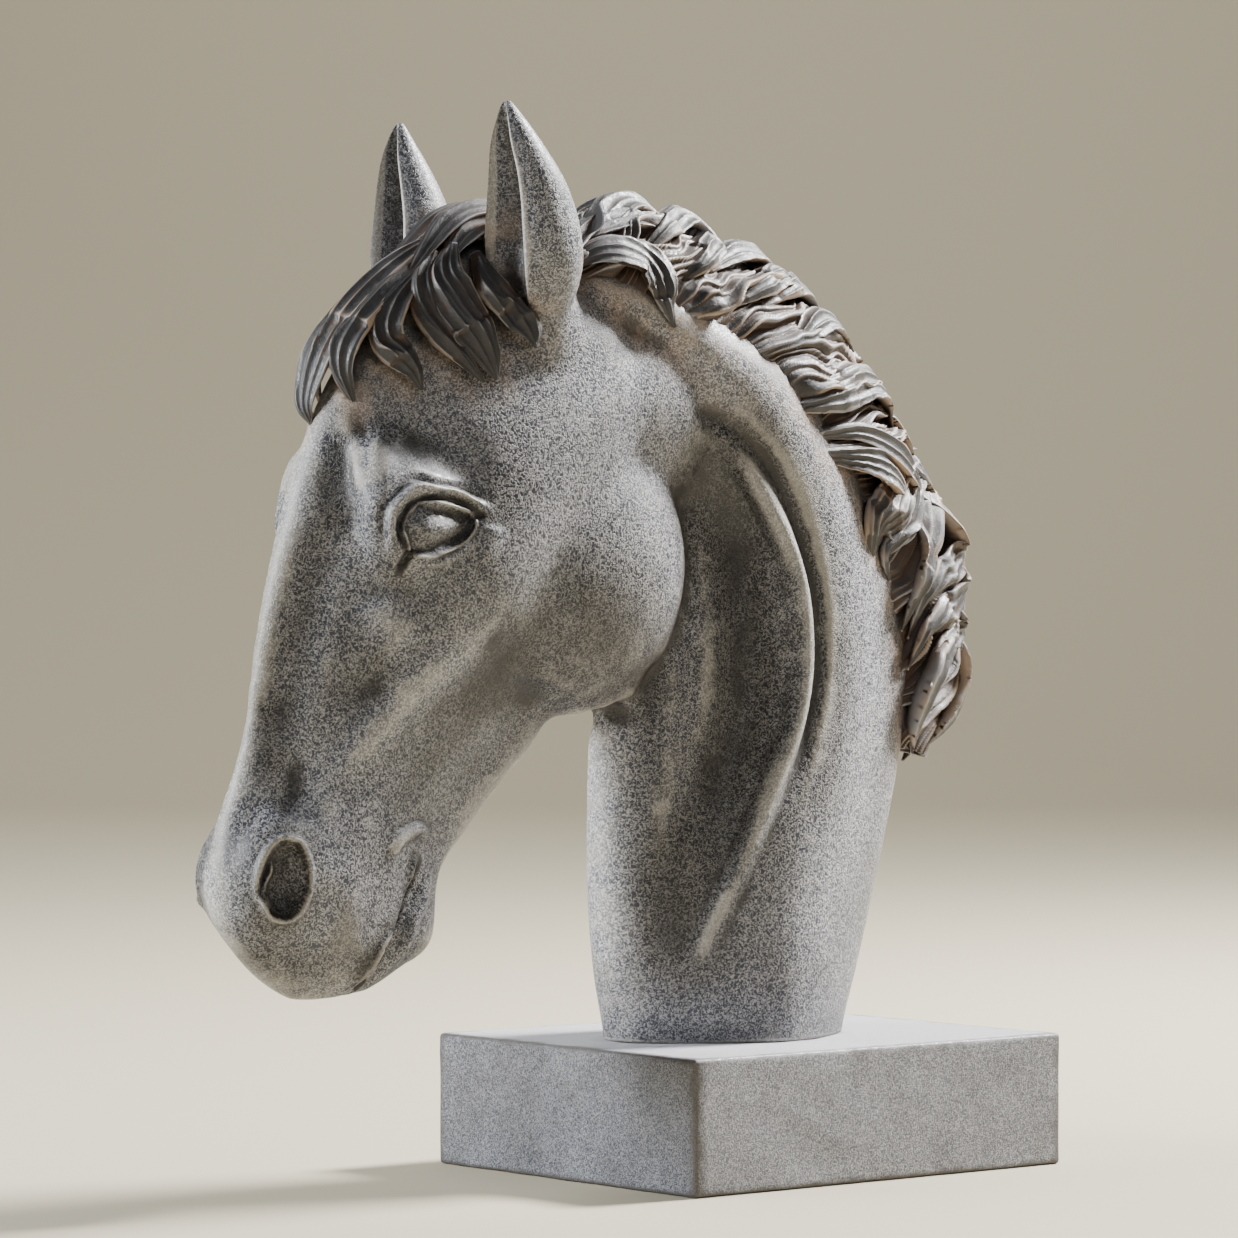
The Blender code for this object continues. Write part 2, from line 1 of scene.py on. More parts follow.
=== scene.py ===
# %% [markdown]
# # A cast horse head on its plinth
# The sculpture is one grey casting: a horse's head on an arched neck, standing on a plain block. This lesson
# builds its looks round a fixed frame, which holds the true sizes of the two solids. Everything is in metres,
# with +Z up, and the horse looks along -Y. First come the frame and the tools that the later cells share.

# %% Load the frame
import math

import bmesh
import bpy
import numpy as np
from mathutils import Matrix, Vector
from mathutils import noise
from mathutils.bvhtree import BVHTree


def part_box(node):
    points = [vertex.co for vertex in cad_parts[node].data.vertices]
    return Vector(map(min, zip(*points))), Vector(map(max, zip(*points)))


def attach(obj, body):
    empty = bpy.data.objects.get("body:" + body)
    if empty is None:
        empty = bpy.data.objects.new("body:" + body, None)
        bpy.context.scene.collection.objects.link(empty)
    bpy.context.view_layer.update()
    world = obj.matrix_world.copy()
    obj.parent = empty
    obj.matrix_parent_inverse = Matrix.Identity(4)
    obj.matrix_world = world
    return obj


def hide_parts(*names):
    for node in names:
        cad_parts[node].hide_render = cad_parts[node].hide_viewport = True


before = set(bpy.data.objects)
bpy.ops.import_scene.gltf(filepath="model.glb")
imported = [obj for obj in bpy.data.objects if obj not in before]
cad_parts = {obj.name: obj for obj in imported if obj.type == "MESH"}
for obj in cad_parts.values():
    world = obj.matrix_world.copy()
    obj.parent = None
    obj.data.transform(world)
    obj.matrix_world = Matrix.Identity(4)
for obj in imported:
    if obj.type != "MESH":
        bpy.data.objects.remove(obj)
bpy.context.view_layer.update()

# %% [markdown]
# ## Sizes
# The bust is a free form, so it is drawn in its own units, one for each of 343.5 parts of its height, and set
# on its seat at the end. The plinth has real sizes, which are read from the frame.

# %% Sizes
BUST_LOW, BUST_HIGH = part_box("horse_head")
PLINTH_LOW, PLINTH_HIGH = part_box("plinth")
FORM_TOP = 343.5
UNIT = (BUST_HIGH.z - BUST_LOW.z) / FORM_TOP
SEAT = BUST_LOW.z
print("one unit is", round(UNIT * 1000, 4), "mm, the seat is at", round(SEAT, 4))

# %% [markdown]
# ## The camera
# The photograph was taken level, from the horse's left front, with a long lens. The camera comes first, because
# every later look at the work goes through it. Its focal length and place were fitted to the plinth's corners.

# %% Camera
CAMERA_TURN = math.radians(50.6)
CAMERA_AWAY = 1.900
CAMERA_ASIDE = -0.0498
CAMERA_HEIGHT = 0.208
FOCAL_PIXELS = 4975
PICTURE_PIXELS = 1238
SENSOR = 36

right = Vector((math.cos(CAMERA_TURN), math.sin(CAMERA_TURN), 0))
forward = Vector((-math.sin(CAMERA_TURN), math.cos(CAMERA_TURN), 0))
up = Vector((0, 0, 1))

camera_data = bpy.data.cameras.new("camera")
camera_data.sensor_width = SENSOR
camera_data.lens = FOCAL_PIXELS / PICTURE_PIXELS * SENSOR
camera = bpy.data.objects.new("camera", camera_data)
camera.location = right * CAMERA_ASIDE - forward * CAMERA_AWAY + up * CAMERA_HEIGHT
camera.rotation_euler = (math.pi / 2, 0, CAMERA_TURN)
bpy.context.scene.collection.objects.link(camera)
bpy.context.scene.camera = camera
print("lens", round(camera_data.lens, 1), "mm")

# %% [markdown]
# ## Clay tools
# A modeller in clay works with a few moves: pull a coil, press lumps together, smooth them, cut lines. The
# same moves are made here with Blender's own operators. A grid is rolled into a tube for every pulled form, a
# voxel remesh presses overlapping forms into one skin, and strokes move the skin along its normals.


# %% Curves and tubes
def through(controls, count):
    """A smooth curve through the controls, as count points spread evenly by their number."""
    rows = np.array(controls, float)
    rows = np.vstack([2 * rows[0] - rows[1], rows, 2 * rows[-1] - rows[-2]])
    places = np.linspace(0, len(rows) - 3, count)
    cell = np.minimum(places.astype(int), len(rows) - 4)
    s = (places - cell)[:, None]
    a, b, c, d = (rows[cell + i] for i in range(4))
    return 0.5 * (2 * b + (c - a) * s + (2 * a - 5 * b + 4 * c - d) * s**2 + (3 * b - a - 3 * c + d) * s**3)


def rolled(rings):
    """A closed skin over rings of points: a grid rolled into a tube, its seam welded and its ends filled."""
    rings = np.array(rings)
    count, around = len(rings), len(rings[0])
    skin = bmesh.new()
    bmesh.ops.create_grid(skin, x_segments=around, y_segments=count - 1, size=1)
    places = np.concatenate([rings, rings[:, :1]], axis=1).reshape(-1, 3)
    for vert, place in zip(skin.verts, places):
        vert.co = place
    bmesh.ops.remove_doubles(skin, verts=skin.verts, dist=1e-6)
    rims = [edge for edge in skin.edges if edge.is_boundary]
    bmesh.ops.holes_fill(skin, edges=rims)
    bmesh.ops.recalc_face_normals(skin, faces=skin.faces)
    return skin


# %% Fusing, smoothing and finishing
def joined(skins):
    """All the skins in one bmesh."""
    shared = bpy.data.meshes.new("shared")
    whole = bmesh.new()
    for skin in skins:
        skin.to_mesh(shared)
        whole.from_mesh(shared)
        skin.free()
    bpy.data.meshes.remove(shared)
    return whole


def fused(skins, voxel):
    """One closed skin round all the skins."""
    whole = joined(skins)
    mesh = bpy.data.meshes.new("clay")
    whole.to_mesh(mesh)
    whole.free()
    holder = bpy.data.objects.new("clay", mesh)
    bpy.context.scene.collection.objects.link(holder)
    remesh = holder.modifiers.new("fuse", "REMESH")
    remesh.mode = "VOXEL"
    remesh.voxel_size = voxel
    graph = bpy.context.evaluated_depsgraph_get()
    clay = bmesh.new()
    clay.from_object(holder, graph)
    bpy.data.objects.remove(holder)
    bpy.data.meshes.remove(mesh)
    return clay


def softened(clay, passes, verts=None):
    """The skin smoothed so many times, in all of it or in some of its points."""
    for _ in range(passes):
        bmesh.ops.smooth_vert(
            clay,
            verts=verts or clay.verts,
            factor=0.5,
            use_axis_x=True,
            use_axis_y=True,
            use_axis_z=True,
        )


def on_the_seat(clay):
    """The drawn form in metres, standing where the frame's bust stands."""
    bmesh.ops.scale(clay, vec=(UNIT, UNIT, UNIT), verts=clay.verts)
    bmesh.ops.translate(clay, vec=(0, 0, SEAT), verts=clay.verts)


def piece_of(name, clay):
    """The skin as a smooth shaded piece that rides on the one body."""
    mesh = bpy.data.meshes.new(name)
    clay.to_mesh(mesh)
    clay.free()
    mesh.shade_smooth()
    piece = bpy.data.objects.new(name, mesh)
    bpy.context.scene.collection.objects.link(piece)
    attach(piece, "root")
    mesh.calc_loop_triangles()
    print(name, len(mesh.loop_triangles), "triangles")
    return piece


# %% [markdown]
# ## The head and the neck
# On the real work these are one smooth mass. A box model with subdivision would need its edges planned round
# every muscle, so the mass is drawn out from sections instead, from the poll to the lips and from the seat to
# the poll, and eggs are laid on where the bone is near the skin.

# %% Sections of the head and the neck
# Each section runs from its front line (y, z) to its back line (y, z), with the half width at the front,
# in the middle and at the back.
HEAD_SECTIONS = [
    (-92, 294, -44, 240, 10, 16, 10),
    (-118, 298, -50, 205, 22, 31, 20),
    (-146, 293, -55, 172, 25, 35, 24),
    (-172, 273, -64, 150, 25, 38, 24),
    (-194, 247, -80, 137, 23, 39, 22),
    (-210, 217, -94, 127, 20, 38, 21),
    (-218, 195, -105, 119, 17, 34, 19),
    (-226, 168, -117, 110, 14, 28, 16),
    (-232, 140, -129, 100, 12, 23, 14),
    (-237, 112, -140, 88, 10, 20, 13),
    (-245, 90, -148, 74, 12, 22, 13),
    (-250, 70, -152, 60, 16, 24, 14),
    (-248, 54, -153, 47, 17, 24, 14),
    (-239, 41, -160, 38, 15, 22, 13),
    (-228, 30, -172, 30, 12, 18, 11),
    (-215, 22, -184, 24, 7, 11, 7),
]
NECK_SECTIONS = [
    (-66, -6, 38, -6, 26, 40, 30),
    (-67, 4, 40, 4, 26, 40, 30),
    (-72, 25, 48, 26, 26, 40, 30),
    (-76, 55, 59, 58, 24, 39, 28),
    (-77, 90, 71, 95, 22, 38, 24),
    (-76, 122, 80, 132, 20, 36, 20),
    (-70, 150, 83, 172, 20, 35, 17),
    (-60, 172, 72, 208, 20, 34, 16),
    (-54, 195, 46, 242, 22, 34, 17),
    (-56, 215, 13, 270, 24, 34, 18),
    (-63, 232, -28, 286, 24, 33, 19),
    (-76, 250, -64, 294, 18, 30, 20),
    (-92, 262, -96, 295, 12, 24, 16),
]
HEAD_BOXY = 0.74
NECK_BOXY = 0.82

# Eggs on the right and the left: centre, radii and turn in the side view
LUMPS = [
    ("cheek", (15, -98, 178), (23, 50, 52), 0),
    ("orbit", (25, -180, 193), (13, 22, 22), 20),
    ("brow", (20, -191, 206), (11, 10, 15), 0),
    ("nostril", (11, -226, 68), (12, 20, 25), -10),
    ("jaw", (12, -105, 150), (16, 42, 26), -25),
    ("ear root", (22, -119, 264), (13, 16, 22), 0),
]
MIDDLE_LUMPS = [("chin", (0, -168, 47), (14, 14, 14), 0), ("poll", (0, -70, 235), (32, 48, 42), 0)]


# %% Draw out the mass
def section_ring(section, boxy, count=64):
    """One section as a ring of points."""
    front, back = np.array(section[:2]), np.array(section[2:4])
    near, middle, far = section[4:]
    turn = np.linspace(0, 2 * math.pi, count, endpoint=False)
    share = (1 - np.cos(turn)) / 2
    ease = np.abs(2 * share - 1)
    ease = ease * ease * (3 - 2 * ease)
    half = np.where(share < 0.5, middle + (near - middle) * ease, middle + (far - middle) * ease)
    side = np.sign(np.sin(turn)) * np.abs(np.sin(turn)) ** boxy * half
    line = front + (back - front) * share[:, None]
    return np.column_stack([side, line])


def drawn_form(sections, boxy, count=60):
    return rolled([section_ring(section, boxy) for section in through(sections, count)])


def egg(centre, radii, turn):
    """A smooth egg, turned in the side view by so many degrees."""
    skin = bmesh.new()
    bmesh.ops.create_icosphere(skin, subdivisions=4, radius=1)
    bmesh.ops.scale(skin, vec=radii, verts=skin.verts)
    bmesh.ops.rotate(skin, cent=(0, 0, 0), matrix=Matrix.Rotation(math.radians(turn), 3, "X"), verts=skin.verts)
    bmesh.ops.translate(skin, vec=centre, verts=skin.verts)
    return skin


# %% [markdown]
# ## The ears
# An ear is a leaf rolled round a hollow. A tube whose section has a scoop on its front side gives both faces and
# the crisp rim between them in one go. The far ear leans a little and is a little smaller, as on the real work.
# The ears grow out of the mass, so their stubs are pressed into it and the skin flows up to them.

# %% Ears
# The ear's axis from its root to its tip, each with its radius and the depth of the scoop
EAR = [
    (21, -121, 259, 8, 0),
    (25, -124, 272, 13.5, 1),
    (27.5, -126, 285, 17, 9),
    (29, -128, 296, 17.2, 13),
    (30, -130, 307, 15.6, 13),
    (31, -133, 317, 13.2, 11),
    (31.5, -137, 327, 9.8, 8),
    (32, -140, 335, 6.2, 4),
    (32, -142, 341, 3.0, 1.5),
    (32, -142.5, 343.5, 1.2, 0),
]
EAR_SCOOP = math.radians(40)
EAR_RINGS = 110
EAR_AROUND = 108
RIM_STAND = 0.7
STUB_TOP = 298


# Side, lean and size of the two ears
NEAR_EAR = (1, 0, 1)
FAR_EAR = (-1, 15, 0.92)


def ear(side, lean, size, top=FORM_TOP + 1, within=0.0):
    """A leaf shaped ear with its scoop to the front; its root leans forward by so much."""
    turn = np.linspace(-math.pi, math.pi, EAR_AROUND, endpoint=False)
    inside = np.abs(turn) < EAR_SCOOP
    hollow = np.sqrt(np.clip(1 - (np.abs(turn) / EAR_SCOOP) ** 2, 0, 1))
    rim = np.exp(-(((np.abs(turn) - EAR_SCOOP) / 0.10) ** 2))
    rings = []
    for x, y, z, radius, depth in through(EAR, EAR_RINGS):
        if z > top:
            break
        radius -= within
        y -= lean * (FORM_TOP - z) / 70
        z -= (1 - size) * 40
        radius *= size
        across = radius * np.sin(turn)
        along = np.where(inside, -radius * math.cos(EAR_SCOOP) + depth * hollow, -radius * np.cos(turn))
        along -= rim * RIM_STAND * min(1, depth / 6)
        rings.append(np.column_stack([side * (x + across), y + along, np.full(EAR_AROUND, z)]))
    return rolled(rings)


# %% Press the mass together
SKIN_VOXEL = 2.5
masses = [drawn_form(HEAD_SECTIONS, HEAD_BOXY), drawn_form(NECK_SECTIONS, NECK_BOXY)]
masses += [egg(*details) for _, *details in MIDDLE_LUMPS]
for _, (x, y, z), radii, turn in LUMPS:
    masses += [egg((side * x, y, z), radii, turn) for side in (1, -1)]
masses += [ear(*about, top=STUB_TOP, within=0.8) for about in (NEAR_EAR, FAR_EAR)]
# Places smoothed on their own: middle, reach and passes
SOFT_PLACES = [((27, -122, 276), 24, 9), ((27, -184, 214), 26, 15), ((8, -118, 122), 22, 12)]
body_clay = fused(masses, SKIN_VOXEL)
softened(body_clay, 8)
for side in (1, -1):
    for (x, y, z), reach, passes in SOFT_PLACES:
        middle = Vector((side * x, y, z))
        softened(body_clay, passes, [vert for vert in body_clay.verts if (vert.co - middle).length < reach])
print("mass", len(body_clay.verts), "points")

# %% [markdown]
# ## Carving
# A carver cuts the big hollows first and the eye last, with finer and finer tools. Here every cut is a stroke:
# a path on the skin, a reach and a depth. The broad strokes move the coarse skin, then the skin is subdivided
# round the eyes, the nostrils and the mouth, and the fine strokes cut into that.

# %% Strokes
# Name, reach, depth (a groove is below 0), whether it closes on itself, and the path on the near side
BROAD_STROKES = [
    ("brow ridge", 10.0, 2.2, False, [(17, -186, 230), (21, -195, 219), (25, -198, 209), (28, -200, 199), (30, -199, 190)]),
    ("brow front hollow", 11.0, -1.2, False, [(10, -200, 228), (12, -202, 213), (14, -202, 196)]),
    ("above the eye", 18.0, -1.2, False, [(20, -186, 225), (25, -177, 217), (30, -163, 212), (35, -150, 208)]),
    ("beside the bridge", 13.0, -2.6, False,
     [(14, -204, 196), (12, -213, 176), (11, -221, 145), (10, -226, 125), (9, -229, 108)]),
    ("cheekbone", 13.0, 2.2, False, [(22, -195, 166), (24, -190, 156), (27, -183, 146)]),
    ("below the cheekbone", 14.0, -1.8, False, [(14, -208, 131), (18, -198, 132), (24, -186, 137)]),
    ("upper jaw muscle", 10.0, 2.0, False,
     [(31, -157, 147), (29, -170, 140), (26, -182, 132), (22, -193, 117), (17, -205, 105), (15, -213, 98)]),
    ("jaw muscle gap", 11.0, -1.8, False, [(25, -140, 140), (24, -155, 133), (22, -172, 119), (20, -188, 102)]),
    ("lower jaw muscle", 11.0, 1.4, False, [(15, -122, 127), (17, -144, 113), (17, -164, 96), (19, -180, 82)]),
    ("cheek pit", 13.0, -2.4, False, [(33, -152, 153), (31, -144, 146), (27, -133, 139)]),
    ("jaw line", 24.0, 3.4, False, [(4, -170, 79), (4, -152, 87), (4, -133, 98), (4, -114, 111), (4, -98, 119)]),
    ("under the cheek", 13.0, -4.0, False, [(6, -94, 118), (9, -82, 121), (13, -70, 130)]),
    ("cheek edge", 10.0, -1.3, False,
     [(30, -152, 141), (24, -138, 133), (20, -120, 128), (19, -100, 124), (23, -84, 128), (28, -69, 138),
      (26, -54, 158)]),
    ("nostril groove", 7.0, -2.0, False, [(12, -218, 116), (11, -221, 101), (13, -224, 92), (17, -229, 87)]),
    ("beside the nostril", 9.0, 1.6, False, [(16, -212, 104), (21, -213, 88), (24, -215, 72), (22, -214, 57)]),
    ("lip hollow", 10.0, -1.4, False, [(22, -200, 82), (23, -195, 66), (22, -195, 52), (19, -203, 40)]),
    ("neck hollow", 18.0, -8.0, False,
     [(24, -48, 218), (26, -30, 196), (29, -25, 160), (31, -28, 125), (30, -40, 95), (27, -52, 66)]),
    ("throat ridge", 9.0, 1.8, False, [(22, -54, 160), (22, -56, 128), (20, -60, 96), (18, -64, 62)]),
]
FINE_STROKES = [
    ("brow fold", 5.0, 1.3, False, [(13, -200, 236), (15, -202, 226), (18, -202, 216), (21, -201, 207), (24, -199, 200)]),
    ("brow crease", 3.4, -1.0, False, [(17, -197, 234), (19, -199, 225), (22, -199, 216), (25, -198, 208)]),
    ("temple fold", 5.0, 0.8, False, [(27, -187, 214), (31, -180, 210), (34, -170, 208), (37, -158, 205)]),
    ("neck ridge", 6.5, 4.6, False,
     [(30, -62, 231), (29, -38, 222), (29, -18, 203), (32, -6, 178), (35, -3, 150), (36, -7, 122), (36, -20, 94),
      (33, -34, 64), (28, -47, 35), (25, -51, 20)]),
    ("neck groove", 6.0, -3.6, False,
     [(31, -62, 240), (30, -32, 229), (32, -10, 206), (34, 3, 172), (36, 5, 140), (37, -4, 108), (38, -18, 80)]),
    ("eye roll", 3.1, 3.2, False,
     [(29, -188, 176), (32, -193, 181), (33, -195, 187), (35, -197, 192), (36, -196, 197), (36, -192, 201),
      (36, -188, 204), (38, -183, 205), (37, -175, 204), (34, -166, 202), (34, -159, 199), (36, -155, 197),
      (37, -151, 196)]),
    ("outside the roll", 3.4, -1.5, False,
     [(32, -194, 180), (33, -198, 186), (33, -198, 191), (33, -197, 197), (33, -193, 202), (33, -188, 206),
      (34, -182, 208), (37, -176, 207), (35, -167, 205), (35, -159, 202), (36, -153, 200)]),
    ("lid groove", 2.3, -2.4, False,
     [(33, -187, 181), (34, -190, 185), (35, -193, 190), (34, -190, 195), (34, -187, 198), (35, -181, 200),
      (34, -173, 201), (33, -165, 199), (33, -159, 197), (35, -156, 195)]),
    ("lid", 1.6, 1.5, True,
     [(33, -187, 181), (33, -189, 186), (36, -192, 190), (35, -190, 194), (35, -187, 197), (35, -184, 199),
      (37, -179, 199), (38, -175, 198.5), (37, -169, 197.5), (36, -163, 196), (36, -160, 194), (37, -161, 190),
      (36, -164, 186), (36, -169, 183), (37, -174, 181), (36, -179, 179.5), (35, -183, 180)]),
    ("lower lid", 2.2, 1.3, False, [(34, -185, 178), (34, -179, 177), (34, -171, 178.5), (35, -165, 182), (36, -160, 186)]),
    ("tear corner", 2.8, -3.2, False, [(28, -188, 174), (30, -188, 178), (32, -187, 181), (34, -187, 183)]),
    ("eye corner", 2.0, -2.2, False, [(36, -163, 195.5), (37, -159, 194.5), (36, -155, 194.5)]),
    ("below the eye", 7.0, 1.0, False, [(37, -152, 192), (37, -154, 186), (35, -160, 179)]),
    ("nostril rim", 2.2, 1.5, True,
     [(21, -232, 82), (22, -226, 79.5), (22.5, -223.5, 74), (23, -222.5, 67), (22.5, -223.5, 60), (22, -226, 54.5),
      (20, -230.5, 52), (18, -236, 53.5), (18, -240.5, 58), (18, -243, 63), (18.5, -242, 70), (19, -239.5, 76),
      (20, -236, 80.5)]),
    ("nostril fold", 2.4, 4.4, False,
     [(19, -238, 77), (19, -236, 73), (19, -236.5, 69), (18, -238.5, 65), (18, -239, 61), (18.5, -237, 57),
      (19, -234, 55)]),
    ("mouth edge", 2.8, 2.0, False,
     [(13, -166, 75), (14.5, -171, 72), (15.5, -173, 67), (15.6, -175, 61), (16, -178, 55), (17, -182, 48),
      (20, -189, 42), (19, -194, 35), (17, -197, 30), (15, -198, 27)]),
    ("mouth slit", 3.4, -6.0, False,
     [(13, -169, 71.5), (14, -171, 67), (15, -174, 61), (16.5, -177.5, 54.5), (17, -181.5, 47.5), (18.5, -187, 41),
      (17, -190.5, 34), (14, -194, 28), (8, -197, 25), (0, -199, 24)]),
    ("mouth groove", 5.0, -2.8, False,
     [(12, -166, 70), (14, -169, 65), (15, -172, 59), (16.5, -176, 53), (17, -179, 47), (16.5, -182, 40),
      (14.5, -185, 33), (10, -190, 28), (0, -193, 26)]),
    ("lower lip", 4.2, 2.2, False,
     [(11, -160, 70), (12, -162, 63), (13.5, -166, 56), (16, -171, 50), (16, -174, 44), (14, -176, 38), (10, -179, 32)]),
    ("mouth hood", 3.8, 2.8, False, [(20, -186, 72), (20, -184, 77), (18, -178, 81), (17, -169, 82.5), (12, -161, 78)]),
]
# Places sunk inside an outline: name, outline, then heights at distances inside it
SUNK = [
    ("eyeball",
     [(33, -187, 181), (33, -189, 186), (36, -192, 190), (35, -190, 194), (35, -187, 197), (35, -184, 199),
      (37, -179, 199), (38, -175, 198.5), (37, -169, 197.5), (36, -163, 196), (36, -160, 194), (37, -161, 190),
      (36, -164, 186), (36, -169, 183), (37, -174, 181), (36, -179, 179.5), (35, -183, 180)],
     [(0, 0), (0.9, -2.3), (1.9, -2.1), (4.5, -0.8), (8, 0.3), (12, 0.6)]),
    ("nostril",
     [(21, -231, 81), (21.5, -226.5, 78.5), (22, -224.5, 73), (22.5, -223.5, 67), (22, -224.5, 60.5),
      (21, -227, 55.5), (19.5, -231, 53), (18, -236, 54.5), (18, -239.5, 58.5), (18, -242, 63), (18.5, -241, 69.5),
      (19, -238.5, 75), (20, -235, 79.5)],
     [(0, 0), (0.8, -3.4), (1.8, -5.4), (4, -7.6), (8, -9.0), (12, -9.5)]),
]


# %% Carve
STROKE_TAPER = 0.28


def laid_on(skin, path, closed, side):
    """A smooth path laid on the skin, on one side."""
    length = np.linalg.norm(np.diff(np.array(path), axis=0), axis=1).sum()
    line = through([*path, path[0]] if closed else path, int(max(30, 3 * length)))
    return np.array([skin.find_nearest(point)[0] for point in line * (side, 1, 1)])


def near_path(places, points, reach):
    """The places within reach of the points: their numbers, distances and nearest points' numbers."""
    low, high = points.min(axis=0) - reach, points.max(axis=0) + reach
    close = np.flatnonzero(((places > low) & (places < high)).all(axis=1))
    apart = np.linalg.norm(places[close][:, None] - points[None], axis=2)
    return close, apart.min(axis=1), apart.argmin(axis=1)


def stroke_field(clay, strokes):
    """What all the strokes add up to at every point."""
    skin = BVHTree.FromBMesh(clay)
    places = np.array([vert.co for vert in clay.verts])
    total = np.zeros(len(places))
    for _, reach, depth, closed, path in strokes:
        for side in (1, -1):
            points = laid_on(skin, path, closed, side)
            share = np.linspace(0, 1, len(points))
            taper = np.clip(np.minimum(share, 1 - share) / STROKE_TAPER, 0, 1)
            strength = np.ones(len(points)) if closed else taper * taper * (3 - 2 * taper)
            close, apart, at = near_path(places, points, reach)
            total[close] += depth * np.clip(1 - (apart / reach) ** 2, 0, 1) ** 2 * strength[at]
    return total


def sunk_field(clay, outline, profile):
    """How high every point inside an outline is to be moved, by its distance from the outline."""
    skin = BVHTree.FromBMesh(clay)
    places = np.array([vert.co for vert in clay.verts])
    total = np.zeros(len(places))
    for side in (1, -1):
        points = laid_on(skin, outline, True, side)
        middle = points.mean(axis=0)
        axes = np.linalg.svd(points - middle)[2][:2]
        flat = (points - middle) @ axes.T
        close, apart, _ = near_path(places, points, 16)
        spots = (places[close] - middle) @ axes.T
        inside = np.zeros(len(spots), bool)
        for (xa, ya), (xb, yb) in zip(flat, np.roll(flat, -1, axis=0)):
            if ya != yb:
                crossed = (ya > spots[:, 1]) != (yb > spots[:, 1])
                inside ^= crossed & (spots[:, 0] < xa + (spots[:, 1] - ya) * (xb - xa) / (yb - ya))
        same_side = places[close][:, 0] * side > 4
        total[close] += np.where(inside & same_side, np.interp(apart, *zip(*profile)), 0)
    return total


def moved_out(clay, heights):
    """Every point moved along its normal."""
    clay.normal_update()
    for vert, height in zip(clay.verts, heights):
        if height:
            vert.co += vert.normal * height


def subdivided_near(clay, path, reach):
    """The skin's edges halved near a path, on both sides."""
    skin = BVHTree.FromBMesh(clay)
    for side in (1, -1):
        points = laid_on(skin, path, False, side)
        places = np.array([vert.co for vert in clay.verts])
        close = set(near_path(places, points, reach)[0][near_path(places, points, reach)[1] < reach])
        inside = [edge for edge in clay.edges if edge.verts[0].index in close and edge.verts[1].index in close]
        bmesh.ops.subdivide_edges(clay, edges=inside, cuts=1, use_grid_fill=True)
        clay.verts.index_update()
        clay.verts.ensure_lookup_table()
        softened(clay, 1, [clay.verts[number] for number in close])


# Where the skin is subdivided before the fine strokes: the path and the reaches, one after the other
EYE_LINE = [(33, -192, 187), (37, -176, 191), (36, -158, 192)]
FINE_AREAS = [
    (EYE_LINE, (22, 17)),
    ([(20, -231, 80), (20, -232, 68), (19, -232, 54)], (19, 16)),
    ([(17, -170, 80), (14, -170, 66), (16.5, -176, 53), (16.5, -182, 40), (13, -190, 30), (0, -195, 25)], (13, 8)),
    ([(29, -38, 224), (29, -18, 203), (32, -6, 178), (35, -3, 150), (36, -7, 122), (36, -20, 94), (33, -34, 64)], (9,)),
]

moved_out(body_clay, stroke_field(body_clay, BROAD_STROKES))
softened(body_clay, 2)
for path, reaches in FINE_AREAS:
    for reach in reaches:
        subdivided_near(body_clay, path, reach)
fine = stroke_field(body_clay, FINE_STROKES)
for _, outline, profile in SUNK:
    fine += sunk_field(body_clay, outline, profile)
moved_out(body_clay, fine)
print("carved", len(body_clay.verts), "points")

# %% [markdown]
# The neck is cut off flat on its seat, so that it meets the plinth as the casting does.

# %% Cut the seat
body_geometry = [*body_clay.verts, *body_clay.edges, *body_clay.faces]
cut = bmesh.ops.bisect_plane(
    body_clay, geom=body_geometry, plane_co=(0, 0, 0), plane_no=(0, 0, -1), clear_outer=True
)
seat_rim = [item for item in cut["geom_cut"] if isinstance(item, bmesh.types.BMEdge)]
bmesh.ops.contextual_create(body_clay, geom=seat_rim)
neck_tree = BVHTree.FromBMesh(body_clay)
on_the_seat(body_clay)
head_and_neck = piece_of("head_and_neck", body_clay)

# %% [markdown]
# Both ears are set on their stubs, so that the skin runs up to them without a step.

# %% Set the ears
near_ear_clay = ear(*NEAR_EAR)
on_the_seat(near_ear_clay)
near_ear = piece_of("near_ear", near_ear_clay)
far_ear_clay = ear(*FAR_EAR)
on_the_seat(far_ear_clay)
far_ear = piece_of("far_ear", far_ear_clay)

# %% [markdown]
# ## Locks of hair
# The mane and the forelock are carved as locks: flat tapered strands, each with a few sharp ridges along it.
# A hair system would be lost on the way to a mesh, so each lock is a tube with a ridged upper side, laid along
# its own path. Locks stand out from a middle line, which tells each of them which side is up.

# %% A lock
SPINE = [(-212, 110), (-172, 200), (-130, 245), (-70, 250), (-10, 232), (28, 198), (44, 160), (42, 100)]
spine_line = through([(0, y, z) for y, z in SPINE], 80)
LOCK_RINGS = 60
LOCK_TOP = 46
LOCK_BELOW = 6
LINE_SPACING = 4.2
LINE_STAND = 1.1
BEND_REACH = 26
RIDGE_LEAN = 0.62
LEAST_LIFT = 0.8
HOLLOW = 0.65


def nearest_on(line, places):
    """For each place, the nearest of the line's points."""
    apart = np.linalg.norm(places[:, None] - line[None], axis=2)
    return line[apart.argmin(axis=1)]


def spread_out(values, taps):
    """Values along a lock, averaged over their neighbours."""
    padded = np.concatenate([np.repeat(values[0], taps), values, np.repeat(values[-1], taps)])
    return np.convolve(padded, np.ones(2 * taps + 1) / (2 * taps + 1), "valid")


